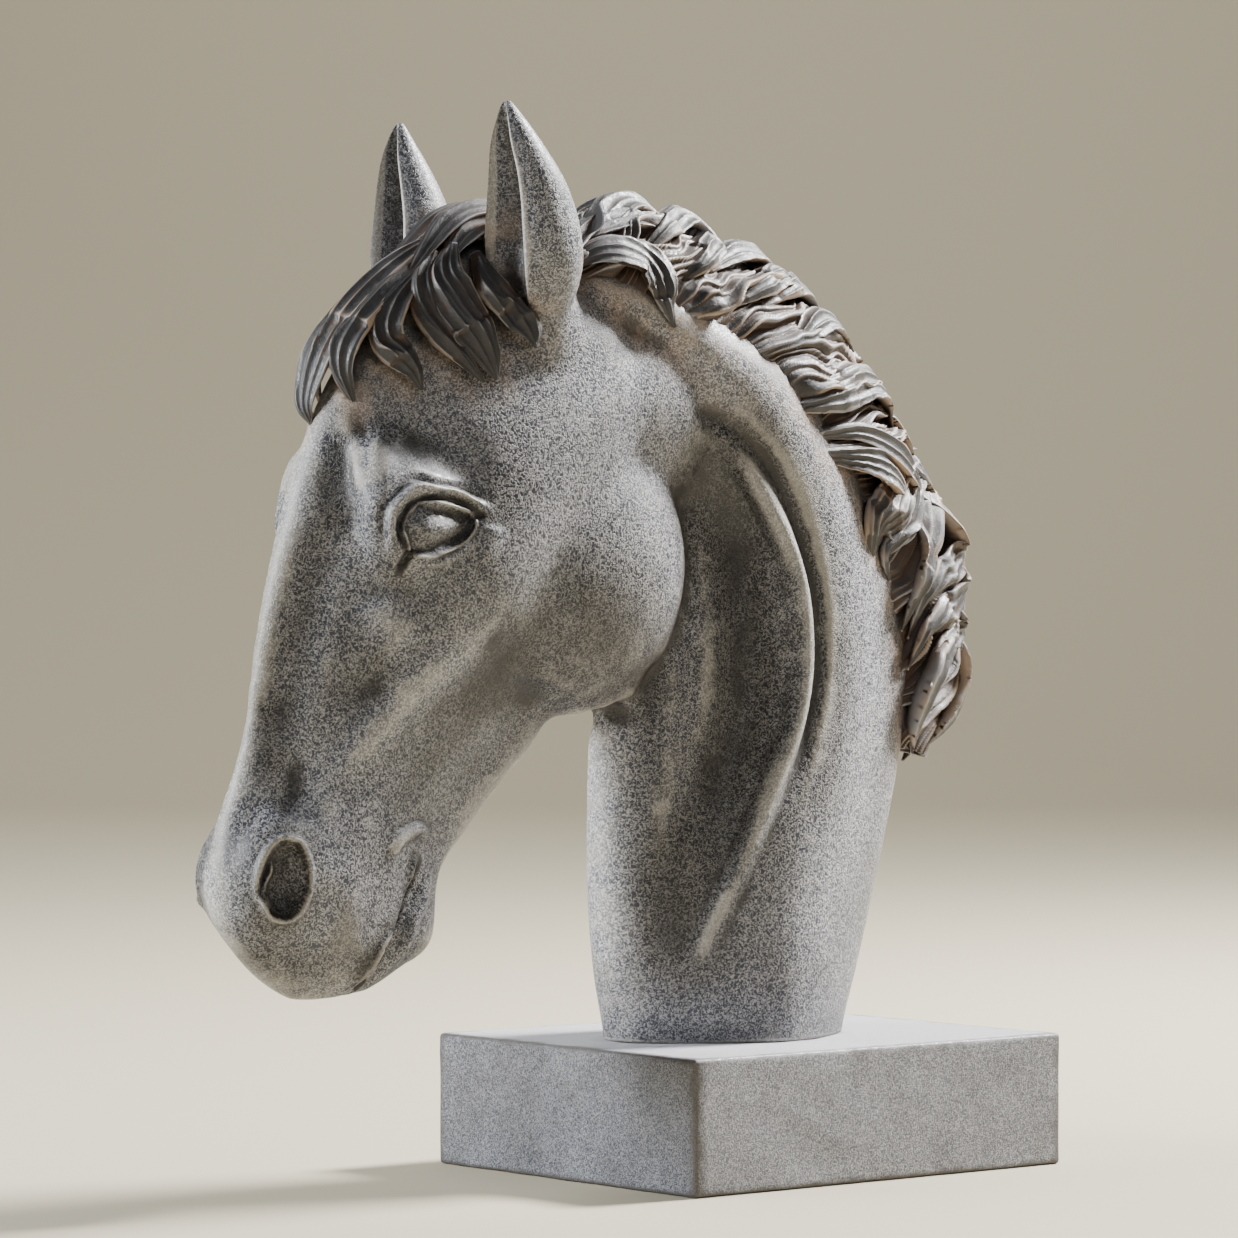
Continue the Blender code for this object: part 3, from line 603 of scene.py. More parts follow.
def kept_over(line, trees, least):
    """The line with each of its points at least so high over the skins."""
    for tree in trees:
        pushes = np.zeros((len(line), 3))
        for at, place in enumerate(line):
            near, normal, _, _ = tree.find_nearest(place)
            pushes[at] = normal * max(0, least[at] - (Vector(place) - near).dot(normal))
        line = line + np.column_stack([spread_out(push, 4) for push in pushes.T])
    return line


def lock(width, thick, path, side=1, seed=0, trees=()):
    """One lock of hair: a tapered strand whose ridge keeps to the outer side of every bend."""
    share = np.linspace(0, 1, LOCK_RINGS)
    middle = through([(side * x, y, z) for x, y, z in path], LOCK_RINGS)
    least = LEAST_LIFT - 6 * np.clip(1 - 6 * share, 0, 1) - 2 * np.clip(6 * share - 5, 0, 1)
    middle = kept_over(middle, trees, least)
    ahead = np.gradient(middle, axis=0)
    step = np.linalg.norm(ahead, axis=1)[:, None]
    ahead /= step
    out = middle - nearest_on(spine_line, middle)
    out -= ahead * (out * ahead).sum(axis=1)[:, None]
    out /= np.linalg.norm(out, axis=1)[:, None]
    across = np.cross(ahead, out)
    bend = (np.gradient(ahead, axis=0) / step * across).sum(axis=1)
    lean = -RIDGE_LEAN * spread_out(np.tanh(bend * BEND_REACH), 5)
    swell = np.clip(0.3 + 2.6 * share, 0, 1) * np.clip((1 - share) * 2.6, 0.06, 1) ** 0.75
    top = np.linspace(1, -1, LOCK_TOP)
    below = np.linspace(-1, 1, LOCK_BELOW + 2)[1:-1]
    lines = width / LINE_SPACING
    formed = []
    for at in range(LOCK_RINGS):
        span = np.where(top > lean[at], 1 - lean[at], 1 + lean[at])
        away = 1 - np.abs(top - lean[at]) / span
        dome = np.where(span > 1, HOLLOW * away**1.7 + (1 - HOLLOW) * away**0.5, away**0.5)
        drift = 0.35 * math.sin(2.6 * share[at] + seed * 1.7) + seed * 0.37
        crest = (1 - np.abs(np.sin(math.pi * (top * lines / 2 + drift)))) ** 1.25
        stand = LINE_STAND * np.clip(dome * 3, 0, 1) * min(1, 6 * share[at] + 0.3)
        high = dome * thick / 2 + (crest - 0.35) * stand
        low = -0.55 * thick / 2 * np.sqrt(1 - below**2)
        c = np.concatenate([top, below]) * width / 2
        h = np.concatenate([high, low])
        formed.append(middle[at] + (across[at] * c[:, None] + out[at] * h[:, None]) * swell[at])
    return rolled(formed)


# %% [markdown]
# ## The forelock
# It falls from between the ears over the brow, in broad locks that end in hooks. The near side was looked at in
# the photograph lock by lock; the far side is its mirror image, and shares only the middle one.

# %% Forelock
# Width, thickness, then the path from root to tip on the near side
FORELOCK = [
    (20, 11, [(0, -142, 298), (0, -158, 291), (-2, -174, 280), (-4, -188, 267), (-6, -197, 254), (-6, -202, 243),
              (-5, -205, 234), (-3, -204, 227)]),
    (14, 10, [(4, -152, 292), (6, -171, 280), (7, -187, 266), (7, -196, 255), (8, -198, 245), (10, -194, 233)]),
    (13, 9, [(8, -154, 290), (12, -173, 276), (14, -182, 265), (16, -184, 257), (19, -180, 251), (22, -177, 246),
             (23, -174, 239)]),
    (18, 9, [(11, -152, 293), (18, -160, 281), (23, -158, 270), (27, -154, 261), (30, -150, 252), (32, -147, 243)]),
    (11, 8, [(9, -158, 290), (15, -168, 279), (19, -169, 268), (23, -165, 259), (28, -158, 250), (31, -152, 242)]),
    (14, 9, [(15, -144, 290), (25, -144, 277), (30, -138, 268), (34, -134, 262), (36, -132, 255)]),
    (14, 9, [(7, -104, 297), (6, -119, 304), (5, -133, 306), (5, -147, 302), (7, -160, 291), (10, -172, 279)]),
    (12, 8, [(12, -112, 292), (12, -127, 299), (11, -140, 299), (12, -151, 292), (16, -158, 283)]),
]

forelock_skins = []
for number, (width, thick, path) in enumerate(FORELOCK):
    forelock_skins.append(lock(width, thick, path, 1, number, [neck_tree]))
    if number:
        forelock_skins.append(lock(width, thick, path, -1, number + 20, [neck_tree]))
forelock_clay = joined(forelock_skins)
on_the_seat(forelock_clay)
forelock = piece_of("forelock", forelock_clay)

# %% [markdown]
# ## The mane
# Up on the neck the mane is one relief of waves that sweep back over the crest, so it is drawn as a surface
# between two lines, the root line and the crest line, and the waves are raised on it. Lower down it breaks
# into single locks that curl down the neck, and these are laid on the waves one by one.

# %% Mane, places on it
ROOT_LINE = [(22, -112, 286), (27, -88, 280), (29, -60, 272), (29, -26, 260), (29, 0, 243), (27, 20, 226),
             (24, 38, 206), (21, 50, 184), (17, 60, 162), (14, 66, 138), (9, 70, 108)]
CREST_LINE = [(-106, 298), (-88, 305), (-62, 308), (-32, 301), (4, 286), (34, 267), (59, 242), (82, 213), (97, 188),
              (101, 160), (101, 134), (84, 106)]
MANE_RINGS = 880
ROOT_UNDER = 1.0
root_line = through(ROOT_LINE, MANE_RINGS)
for place in root_line:
    place[0] = neck_tree.ray_cast(Vector((80, place[1], place[2])), Vector((-1, 0, 0)))[0].x - ROOT_UNDER
crest_line = through([(0, y, z) for y, z in CREST_LINE], MANE_RINGS)
mane_rise = (crest_line - root_line) * (0, 1, 1)
mane_way = mane_rise / np.linalg.norm(mane_rise, axis=1)[:, None]
mane_steps = np.linalg.norm(np.diff(root_line + crest_line, axis=0), axis=1) / 2
mane_along = np.concatenate([[0], np.cumsum(mane_steps)])
crest_ahead = np.gradient(crest_line, axis=0)
crest_ahead /= np.linalg.norm(crest_ahead, axis=1)[:, None]
print("mane", round(mane_along[-1]), "units long")

# %% Mane, the waves
# Turns from the root line to just over the crest, in degrees
WAVE_TURNS = np.concatenate([np.linspace(-34, 0, 8), np.linspace(1.2, 104, 80)])
# How far a wave runs along the mane on its way to the crest, at shares of the mane's length
RUN = [(0, 34), (0.3, 62), (0.5, 60), (0.58, 10), (0.66, -45), (1, -60)]
# Levels of waves: length in units, height, where the blade's edge is and how much they wander
LEVELS = [(23, 6.0, 0.82, 1.0), (8.6, 3.4, 0.80, 0.9), (3.3, 1.7, 0.70, 0.5)]
WANDER = 12.0
FORWARD = 0.4


def blade(share, edge):
    """A wave's section: a slow rise to a sharp edge and a short drop."""
    rise = np.clip(share / edge, 0, 1)
    drop = np.clip((share - edge) / (1 - edge), 0, 1)
    return rise**1.4 - drop * drop * (3 - 2 * drop)


def mane_waves(side, seed):
    """One half of the mane as a closed shell, with the waves raised on its outer side."""
    turns = np.radians(WAVE_TURNS)
    out = mane_way[:, None] * np.sin(turns)[:, None]
    out = out + np.array((1, 0, 0)) * np.cos(turns)[:, None]
    base = root_line[:, None] + mane_rise[:, None] * np.sin(turns)[:, None]
    base[:, :, 0] = root_line[:, :1] * np.cos(turns)
    run = np.interp(np.linspace(0, 1, MANE_RINGS), *zip(*RUN))
    drift = np.empty(base.shape[:2])
    slow = np.empty(base.shape[:2])
    shift = Vector((seed * 31.7, 0, 0))
    for at, ring in enumerate(base):
        for turn, place in enumerate(ring):
            spot = Vector(place) + shift
            drift[at, turn] = noise.noise(spot / 30) + 0.3 * noise.noise(spot / 11)
            slow[at, turn] = noise.noise(spot / 17 + shift)
    flow = mane_along[:, None] - run[:, None] * np.clip(turns / (math.pi / 2), -0.3, 1.2) + WANDER * drift
    height = np.zeros(base.shape[:2])
    for number, (length, high, edge, wander) in enumerate(LEVELS):
        place = (flow + wander * WANDER * 0.35 * slow) / length + 0.31 * number
        change = 0.8 + 0.35 * np.sin(np.floor(place) * 2.4 + seed)
        height += high * change * blade(place - np.floor(place), edge)
    fade = np.clip((turns + 0.12) / 0.4, 0, 1) ** 0.8
    height = (height - 1.0) * fade - 1.5
    skin = base + (out + FORWARD * crest_ahead[:, None]) * height[:, :, None]
    skin[:, :, 0] *= side
    return rolled(skin)


def mane_core():
    """The mane without its waves, for laying locks on it."""
    turns = np.radians(np.arange(-40, 91, 5))
    half = root_line[:, None] + mane_rise[:, None] * np.sin(turns)[:, None]
    half[:, :, 0] = root_line[:, :1] * np.cos(turns)
    return rolled(np.concatenate([half, half[:, -2::-1] * (-1, 1, 1)], axis=1)[::8])


mane_halves = []
for side, name in ((1, "mane_near_waves"), (-1, "mane_far_waves")):
    waves_clay = mane_waves(side, side + 2)
    mane_halves.append((name, waves_clay))
core_tree = BVHTree.FromBMesh(mane_core())

# %% Mane, single locks
# Width, thickness, then the path from root to tip on the near side
MANE_LOCKS = [
    (13, 9, [(18, -104, 292), (14, -92, 300), (12, -80, 302), (12, -68, 304), (13, -59, 301), (18, -58, 294)]),
    (19, 11, [(21, -108, 286), (24, -94, 292), (25, -82, 292), (26, -73, 289), (29, -68, 281), (30, -66, 273),
              (31, -63, 265)]),
    (17, 11, [(16, -92, 294), (11, -82, 303), (6, -72, 310), (4, -63, 312), (4, -54, 310), (6, -46, 305)]),
    (16, 11, [(20, -72, 292), (14, -58, 300), (8, -46, 306), (4, -36, 308), (4, -26, 304), (6, -18, 298)]),
    (14, 9, [(25, -58, 283), (22, -46, 290), (17, -36, 296), (12, -28, 299), (10, -20, 298)]),
    (14, 10, [(22, -40, 288), (14, -22, 295), (8, -8, 296), (5, 3, 293), (5, 12, 285)]),
    (14, 9, [(26, -30, 276), (22, -14, 283), (16, -2, 287), (12, 8, 287), (10, 16, 284)]),
    (14, 10, [(22, -14, 276), (15, 4, 283), (8, 16, 284), (5, 26, 279), (5, 34, 271)]),
    (14, 9, [(25, 0, 261), (19, 14, 269), (13, 26, 272), (9, 37, 269), (7, 47, 261)]),
    (20, 11, [(28, -2, 238), (27, 13, 242), (23, 27, 246), (17, 41, 249), (12, 53, 247), (9, 62, 240), (10, 65, 229)]),
    (24, 12, [(27, 12, 221), (25, 36, 220), (22, 50, 216), (20, 58, 208), (22, 53, 201), (23, 45, 194), (22, 43, 187),
              (20, 43, 180)]),
    (14, 11, [(27, 10, 228), (25, 34, 229), (20, 55, 222), (15, 69, 212), (15, 70, 204), (17, 65, 195), (19, 56, 188),
              (20, 51, 181), (17, 57, 172)]),
    (21, 12, [(8, 74, 209), (6, 88, 203), (5, 99, 193), (6, 102, 183), (11, 92, 176), (15, 81, 170), (16, 72, 162),
              (15, 68, 150)]),
    (13, 9, [(14, 70, 199), (16, 75, 190), (18, 75, 181), (19, 71, 173), (18, 67, 163), (17, 63, 153)]),
    (18, 12, [(5, 92, 188), (4, 103, 178), (5, 104, 169), (9, 95, 162), (14, 83, 157), (17, 73, 150), (16, 67, 138)]),
    (15, 11, [(3, 94, 168), (3, 103, 161), (4, 105, 153), (8, 96, 149), (13, 85, 145), (14, 77, 137)]),
    (18, 11, [(4, 100, 152), (9, 93, 146), (14, 82, 138), (14, 75, 127), (12, 73, 116), (9, 76, 105)]),
    (15, 11, [(2, 98, 155), (2, 106, 147), (2, 108, 135), (3, 102, 124), (4, 94, 115), (4, 86, 107)]),
    (12, 9, [(10, 56, 240), (6, 64, 238), (3, 73, 231), (2, 80, 222), (4, 84, 212)]),
    (11, 9, [(8, 74, 221), (4, 82, 216), (2, 90, 208), (2, 95, 199), (4, 96, 190)]),
]
FAR_SHIFT = 6
FAR_CHANGE = 0.9


def moved_along(path, distance):
    """A path moved so far along the crest."""
    moved = []
    for place in np.array(path, float):
        at = np.linalg.norm(crest_line - place, axis=1).argmin()
        moved.append(place + crest_ahead[at] * distance)
    return moved


mane_pieces = []
for (waves_name, waves_clay), side, name in zip(mane_halves, (1, -1), ("near_locks", "far_locks")):
    on_it = []
    for number, (width, thick, path) in enumerate(MANE_LOCKS):
        if side > 0:
            on_it.append(lock(width, thick, path, 1, number, [neck_tree, core_tree]))
        else:
            path = moved_along(path, FAR_SHIFT)
            on_it.append(lock(width * FAR_CHANGE, thick, path, -1, number + 40, [neck_tree, core_tree]))
    locks_clay = joined(on_it)
    for piece_name, piece_clay in ((waves_name, waves_clay), (name, locks_clay)):
        on_the_seat(piece_clay)
        mane_pieces.append(piece_of(piece_name, piece_clay))

hair_pieces = [forelock, *mane_pieces]
bust_pieces = [head_and_neck, near_ear, far_ear, *hair_pieces]
for piece in bust_pieces:
    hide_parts("horse_head")

# %% [markdown]
# ## The plinth
# The block is plain, but it is cast and rubbed: its edges are soft and not quite straight. A subdivided cube
# with bevelled edges is moved a little by a slow noise, less than a millimetre, and keeps its size.

# %% Plinth
EDGE_SOFT = 0.0016
WAVER = 0.0004
block = bmesh.new()
bmesh.ops.create_cube(block, size=1)
span = PLINTH_HIGH - PLINTH_LOW
bmesh.ops.scale(block, vec=span, verts=block.verts)
bmesh.ops.translate(block, vec=(PLINTH_HIGH + PLINTH_LOW) / 2, verts=block.verts)
bmesh.ops.bevel(
    block, geom=block.edges[:], offset=EDGE_SOFT, segments=3, profile=0.5, affect="EDGES", material=-1
)
long_edges = [edge for edge in block.edges if edge.calc_length() > 0.01]
bmesh.ops.subdivide_edges(block, edges=long_edges, cuts=40, use_grid_fill=True)
for vert in block.verts:
    shift = noise.noise_vector(vert.co * 55) * WAVER
    inward = ((PLINTH_HIGH + PLINTH_LOW) / 2 - vert.co).normalized()
    vert.co += inward * abs(shift.x + shift.y)
plinth = piece_of("plinth_block", block)
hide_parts("plinth")

# %% [markdown]
# ## What the finish follows
# The finish was rubbed on by hand: dark wash stays in the grooves, pale paint catches on what stands out. So
# each point of the skin is told three things that the materials read as attributes: how far it stands out from
# its neighbourhood, how closed in it is, which the materials darken as painted shade, and how near the hair is.

# %% Relief, shelter and hair wash
def relief_of(mesh, passes):
    """How far every point stands out of its smoothed neighbourhood, in millimetres."""
    count = len(mesh.vertices)
    places = np.empty(count * 3)
    mesh.vertices.foreach_get("co", places)
    places = places.reshape(-1, 3)
    normals = np.empty(count * 3)
    mesh.vertices.foreach_get("normal", normals)
    normals = normals.reshape(-1, 3)
    ends = np.empty(len(mesh.edges) * 2, int)
    mesh.edges.foreach_get("vertices", ends)
    a, b = ends.reshape(-1, 2).T
    links = np.bincount(a, minlength=count) + np.bincount(b, minlength=count)
    links = np.maximum(links, 1)
    smooth = places.copy()
    for _ in range(passes):
        total = np.column_stack([
            np.bincount(a, weights=smooth[b, axis], minlength=count)
            + np.bincount(b, weights=smooth[a, axis], minlength=count)
            for axis in range(3)
        ])
        smooth = 0.4 * smooth + 0.6 * total / links[:, None]
    return ((places - smooth) * normals).sum(axis=1) * 1000


def sheltered(mesh, tree, reach, rays):
    """How much of the open air over every point is closed off within reach, from 0 to 1; the materials darken by it as
    painted shade.
    """
    spread = []
    for number in range(rays):
        tilt = math.acos(1 - 0.85 * (number + 0.5) / rays)
        turn = number * 2.39996
        spread.append((math.sin(tilt) * math.cos(turn), math.sin(tilt) * math.sin(turn), math.cos(tilt)))
    found = np.zeros(len(mesh.vertices))
    for vert in mesh.vertices:
        normal = vert.normal
        side = normal.orthogonal()
        other = normal.cross(side)
        start = vert.co + normal * 0.0006
        hits = 0
        for x, y, z in spread:
            if tree.ray_cast(start, side * x + other * y + normal * z, reach)[0] is not None:
                hits += 1
        found[vert.index] = hits / rays
    return found


def near_hair(mesh, tree, reach):
    """How near the hair is to every point, from 0 to 1."""
    found = np.zeros(len(mesh.vertices))
    for vert in mesh.vertices:
        distance = tree.find_nearest(vert.co, reach)[3]
        if distance is not None:
            found[vert.index] = 1 - distance / reach
    return found


# Name, reach, how pale (dark is below 0), then the path of the brush on the near side. The strokes lay the
# casting's own dark wash and pale rub and also painted light and shade: the throat and the outer neck are
# painted pale as if lit, and the bridge side and the neck hollow are painted dark partly as shade.
WASH_AND_PAINTED_LIGHT = [
    ("bridge side", 14, -0.9, [(12, -206, 205), (10, -212, 189), (8, -217, 176), (6, -222, 161), (5, -227, 145),
                             (5, -231, 130), (6, -234, 112)]),
    ("brow front", 9, -0.7, [(10, -200, 228), (12, -202, 213), (14, -202, 196)]),
    ("above the eye", 18, -0.5, [(18, -185, 225), (25, -176, 216), (30, -162, 211), (36, -149, 207)]),
    ("left of the eye", 8, -0.6, [(30, -200, 192), (29, -197, 182), (25, -188, 170)]),
    ("below the cheekbone", 15, -0.5, [(14, -208, 129), (17, -197, 132), (23, -188, 138)]),
    ("jaw muscle gap", 13, -0.6, [(26, -136, 145), (22, -147, 129), (19, -158, 112), (18, -171, 97), (20, -184, 79)]),
    ("under the cheek", 17, -0.9, [(24, -147, 136), (14, -123, 128), (16, -100, 124), (19, -84, 127), (13, -60, 136)]),
    ("cheek low", 26, -0.9, [(34, -128, 150), (36, -106, 146), (36, -86, 152)]),
    ("neck hollow", 24, -1.3, [(19, -46, 210), (17, -29, 180), (20, -25, 142), (22, -30, 105), (25, -46, 68), (22, -53, 38)]),
    ("neck front", 12, -0.6, [(15, -59, 128), (17, -61, 98), (18, -60, 68), (19, -58, 42)]),
    ("neck middle", 17, -0.9, [(30, -55, 233), (29, -20, 221), (32, 0, 195), (34, 10, 165), (35, 13, 131), (37, 3, 97)]),
    ("neck foot", 20, -0.1, [(34, 2, 72), (32, -18, 45), (30, -34, 24)]),
    ("muzzle side", 10, -0.6, [(9, -241, 84), (11, -246, 70), (12, -242, 53)]),
    ("upper lip", 11, -0.7, [(4, -235, 38), (12, -224, 36), (19, -212, 38), (23, -202, 46)]),
    ("mouth", 5, -1.7, [(15, -172, 71), (16, -177, 57), (21, -189, 44), (18, -198, 32)]),
    ("eyeball", 9, -0.9, [(35, -182, 188), (36, -174, 190), (36, -165, 191)]),
    ("nostril", 10, -1.2, [(20, -231, 76), (20, -232, 66), (19, -232, 57)]),
    # Painted shadow: the thin lines below lay shadow into the creases of the mouth, the lids, the tear corner and the
    # nostril.
    ("mouth line", 2.4, -3.2, [(13, -169, 71), (14, -171, 66), (15.5, -175, 59), (17, -179, 52), (17.5, -183, 45),
                              (17.5, -188, 38), (16, -192, 32), (12, -195, 27)]),
    ("lid line", 1.5, -2.6, [(33, -187, 181), (35, -193, 189), (34, -187, 198), (35, -180, 200.5), (33, -165, 199.5),
                             (35, -156, 195)]),
    ("tear line", 1.8, -2.8, [(28, -188, 174), (31, -188, 178), (33, -187, 182)]),
    ("lower lid line", 1.2, -2.0, [(34, -184, 181), (35, -176, 180.5), (35, -168, 183), (36, -161, 190)]),
    ("nostril line", 1.6, -2.4, [(21, -227, 79), (22, -224.5, 73), (22.5, -223.5, 67), (22, -225, 60), (20, -230, 54),
                                 (18, -236, 55)]),
    ("cheekbone", 8, 0.9, [(23, -193, 163), (26, -189, 154), (27, -184, 147)]),
    ("upper jaw muscle", 7, 0.75, [(31, -157, 147), (30, -169, 141), (27, -180, 135), (24, -188, 124), (21, -195, 114), (15, -212, 98)]),
    ("lower jaw muscle", 8, 0.6, [(14, -116, 128), (16, -134, 120), (17, -146, 113), (17, -163, 96), (19, -180, 82)]),
    ("cheek", 24, -0.6, [(37, -108, 212), (37, -99, 194), (38, -104, 175)]),
    ("behind the eye", 18, -0.4, [(37, -140, 211), (37, -123, 219), (35, -103, 226)]),
    ("poll", 15, 0.9, [(34, -101, 245), (30, -69, 249), (30, -41, 243)]),
    ("throat", 14, 1.3, [(5, -75, 116), (2, -76, 90), (3, -76, 61), (5, -73, 38)]),
    ("outer neck", 18, 0.55, [(28, 21, 210), (26, 39, 165), (26, 39, 127), (32, 23, 81), (38, 3, 44)]),
    ("muzzle", 9, 0.8, [(1, -250, 66), (4, -247, 56)]),
    ("nostril right", 7, 0.7, [(24, -217, 70), (23, -215, 56), (20, -218, 45)]),
    ("face middle", 20, -0.4, [(24, -196, 148), (27, -176, 158), (31, -160, 166)]),
    ("face low", 10, 0.3, [(15, -208, 118), (11, -219, 101), (20, -206, 87)]),
    ("bridge", 8, 0.7, [(0, -206, 215), (0, -212, 190), (0, -220, 160), (0, -229, 125), (0, -238, 100)]),
]


def wash_and_light_of(mesh):
    """How pale the wash and the painted light are at every point, from the strokes of the brush; dark wash and painted
    shade are below 0.
    """
    places = np.empty(len(mesh.vertices) * 3)
    mesh.vertices.foreach_get("co", places)
    places = places.reshape(-1, 3) / UNIT - (0, 0, SEAT / UNIT)
    total = np.zeros(len(places))
    for _, reach, pale, path in WASH_AND_PAINTED_LIGHT:
        for side in (1, -1):
            points = laid_on(neck_tree, path, False, side)
            close, apart, _ = near_path(places, points, 1.3 * reach)
            laid = np.zeros(len(places))
            laid[close] = pale * np.clip(1 - (apart / reach / 1.3) ** 2, 0, 1) ** 2
            total += laid * (0.5 if path[0][0] == 0 else 1)
    return total


def write_attribute(mesh, name, values):
    made = mesh.attributes.new(name, "FLOAT", "POINT")
    made.data.foreach_set("value", np.asarray(values, np.float32))


def tree_of(pieces):
    """One search tree over all the pieces."""
    verts, faces = [], []
    for piece in pieces:
        start = len(verts)
        verts += [vert.co.copy() for vert in piece.data.vertices]
        faces += [[start + index for index in face.vertices] for face in piece.data.polygons]
    return BVHTree.FromPolygons(verts, faces)


all_tree = tree_of([*bust_pieces, plinth])
hair_tree = tree_of(hair_pieces)
for piece in [*bust_pieces, plinth]:
    mesh = piece.data
    write_attribute(mesh, "relief", relief_of(mesh, 10))
    write_attribute(mesh, "broad_relief", relief_of(mesh, 60))
    write_attribute(mesh, "shelter", sheltered(mesh, all_tree, 0.012, 6))
for piece in (head_and_neck, near_ear, far_ear):
    write_attribute(piece.data, "hair_wash", near_hair(piece.data, hair_tree, 0.012))
    write_attribute(piece.data, "wash_and_light", wash_and_light_of(piece.data))
# Painted light and shade: the block's top is painted palest and its +X face paler, as if lit from above and
# the right, and its front face darker, as if in shade; the sharp edges get none of it.
block_faces = np.array([vert.normal for vert in plinth.data.vertices])
block_painted_light = 1.1 * np.clip(block_faces[:, 2], 0, 1) + 0.6 * np.clip(block_faces[:, 0], 0, 1)
write_attribute(plinth.data, "wash_and_light", block_painted_light - 0.7 * np.clip(-block_faces[:, 1], 0, 1))
print("attributes written")

# %% [markdown]
# ## The finish
# Three effects are shared by the materials, so each is a node group: the leathery grain of the casting, the
# clouds of the hand-rubbed wash, and the paint that follows the relief.

# %% Node helpers
# SHADE_CHARCOAL is the colour of painted shade in closed-in places.
SHADE_CHARCOAL = (0.028, 0.027, 0.029, 1)
SLATE = (0.125, 0.128, 0.142, 1)
PALE = (0.36, 0.36, 0.385, 1)
CREAM = (0.56, 0.52, 0.45, 1)
TAN = (0.40, 0.27, 0.18, 1)
UMBER = (0.11, 0.060, 0.033, 1)


def node(tree, kind, **inputs):
    """A node with its sockets set to values or fed by other sockets; capitals and spaces are typed as _."""
    made = tree.nodes.new(kind)
    for name, value in inputs.items():
        socket = made.inputs[int(name[1:])] if name[0] == "i" and name[1:].isdigit() else made.inputs[name.replace("_", " ")]
        if isinstance(value, bpy.types.NodeSocket):
            tree.links.new(value, socket)
        else:
            socket.default_value = value
    return made


def maths(tree, operation, a, b=0.0, clamp=False):
    made = node(tree, "ShaderNodeMath", i0=a, i1=b)
    made.operation = operation
    made.use_clamp = clamp
    return made.outputs[0]


def ranged(tree, value, low, high, to_low=0.0, to_high=1.0):
    made = node(tree, "ShaderNodeMapRange", Value=value, From_Min=low, From_Max=high, To_Min=to_low, To_Max=to_high)
    made.interpolation_type = "SMOOTHSTEP"
    return made.outputs["Result"]


def mixed(tree, factor, a, b, blend="MIX"):
    made = tree.nodes.new("ShaderNodeMix")
    made.data_type = "RGBA"
    made.blend_type = blend
    for socket, value in ((made.inputs[0], factor), (made.inputs[6], a), (made.inputs[7], b)):
        if isinstance(value, bpy.types.NodeSocket):
            tree.links.new(value, socket)
        else:
            socket.default_value = value
    return made.outputs[2]


def attribute(tree, name):
    made = tree.nodes.new("ShaderNodeAttribute")
    made.attribute_name = name
    return made.outputs["Fac"]


def group(name, inputs, outputs):
    """An empty node group with named float inputs and outputs."""
    tree = bpy.data.node_groups.new(name, "ShaderNodeTree")
    for label, kind, value in inputs:
        socket = tree.interface.new_socket(name=label, in_out="INPUT", socket_type=kind)
        if value is not None:
            socket.default_value = value
    for label, kind in outputs:
        tree.interface.new_socket(name=label, in_out="OUTPUT", socket_type=kind)
    return tree, tree.nodes.new("NodeGroupInput"), tree.nodes.new("NodeGroupOutput")


def placed(tree, shared, **inputs):
    """A node group set into a material with its own values."""
    made = tree.nodes.new("ShaderNodeGroup")
    made.node_tree = shared
    for name, value in inputs.items():
        socket = made.inputs[name.replace("_", " ")]
        if isinstance(value, bpy.types.NodeSocket):
            tree.links.new(value, socket)
        else:
            socket.default_value = value
    return made


# %% Grain group
FLOAT = "NodeSocketFloat"
VECTOR = "NodeSocketVector"
grain_group, g_in, g_out = group(
    "cast grain", [("Place", VECTOR, None), ("Scale", FLOAT, 1100.0)], [("Fleck", FLOAT), ("Height", FLOAT)]
)
worms = node(grain_group, "ShaderNodeTexNoise", Vector=g_in.outputs["Place"], Scale=g_in.outputs["Scale"],
             Detail=1.0, Roughness=0.5, Distortion=0.7)
broken = node(grain_group, "ShaderNodeTexNoise", Vector=g_in.outputs["Place"],
              Scale=maths(grain_group, "MULTIPLY", g_in.outputs["Scale"], 1.7), Detail=1.0, Roughness=0.5)
crossing = maths(grain_group, "ABSOLUTE", maths(grain_group, "SUBTRACT", worms.outputs["Fac"], 0.5))
line = ranged(grain_group, crossing, 0.095, 0.045)
fleck = maths(grain_group, "MULTIPLY", line, ranged(grain_group, broken.outputs["Fac"], 0.36, 0.56, 0.35, 1.0))
grain_group.links.new(fleck, g_out.inputs["Fleck"])
grain_group.links.new(fleck, g_out.inputs["Height"])

# %% Cloud group
cloud_group, c_in, c_out = group(
    "cloudy wash", [("Place", VECTOR, None), ("Scale", FLOAT, 22.0)], [("Cloud", FLOAT)]
)
slow = node(cloud_group, "ShaderNodeTexNoise", Vector=c_in.outputs["Place"], Scale=c_in.outputs["Scale"],
            Detail=3.0, Roughness=0.55, Distortion=0.3)
cloud_group.links.new(ranged(cloud_group, slow.outputs["Fac"], 0.34, 0.66), c_out.inputs["Cloud"])

# %% Rubbed relief group
rub_group, r_in, r_out = group(
    "rubbed relief",
    [("Relief", FLOAT, 0.0), ("Reach", FLOAT, 0.4), ("Break up", FLOAT, 0.5)],
    [("High", FLOAT), ("Low", FLOAT)],
)
worn = maths(rub_group, "DIVIDE", r_in.outputs["Relief"], r_in.outputs["Reach"])
patchy = maths(rub_group, "MULTIPLY", maths(rub_group, "SUBTRACT", r_in.outputs["Break up"], 0.5), 0.35)
uneven = maths(rub_group, "ADD", worn, patchy)
rub_group.links.new(ranged(rub_group, uneven, 0.15, 1.0), r_out.inputs["High"])
rub_group.links.new(ranged(rub_group, maths(rub_group, "MULTIPLY", uneven, -1.0), 0.1, 0.9), r_out.inputs["Low"])


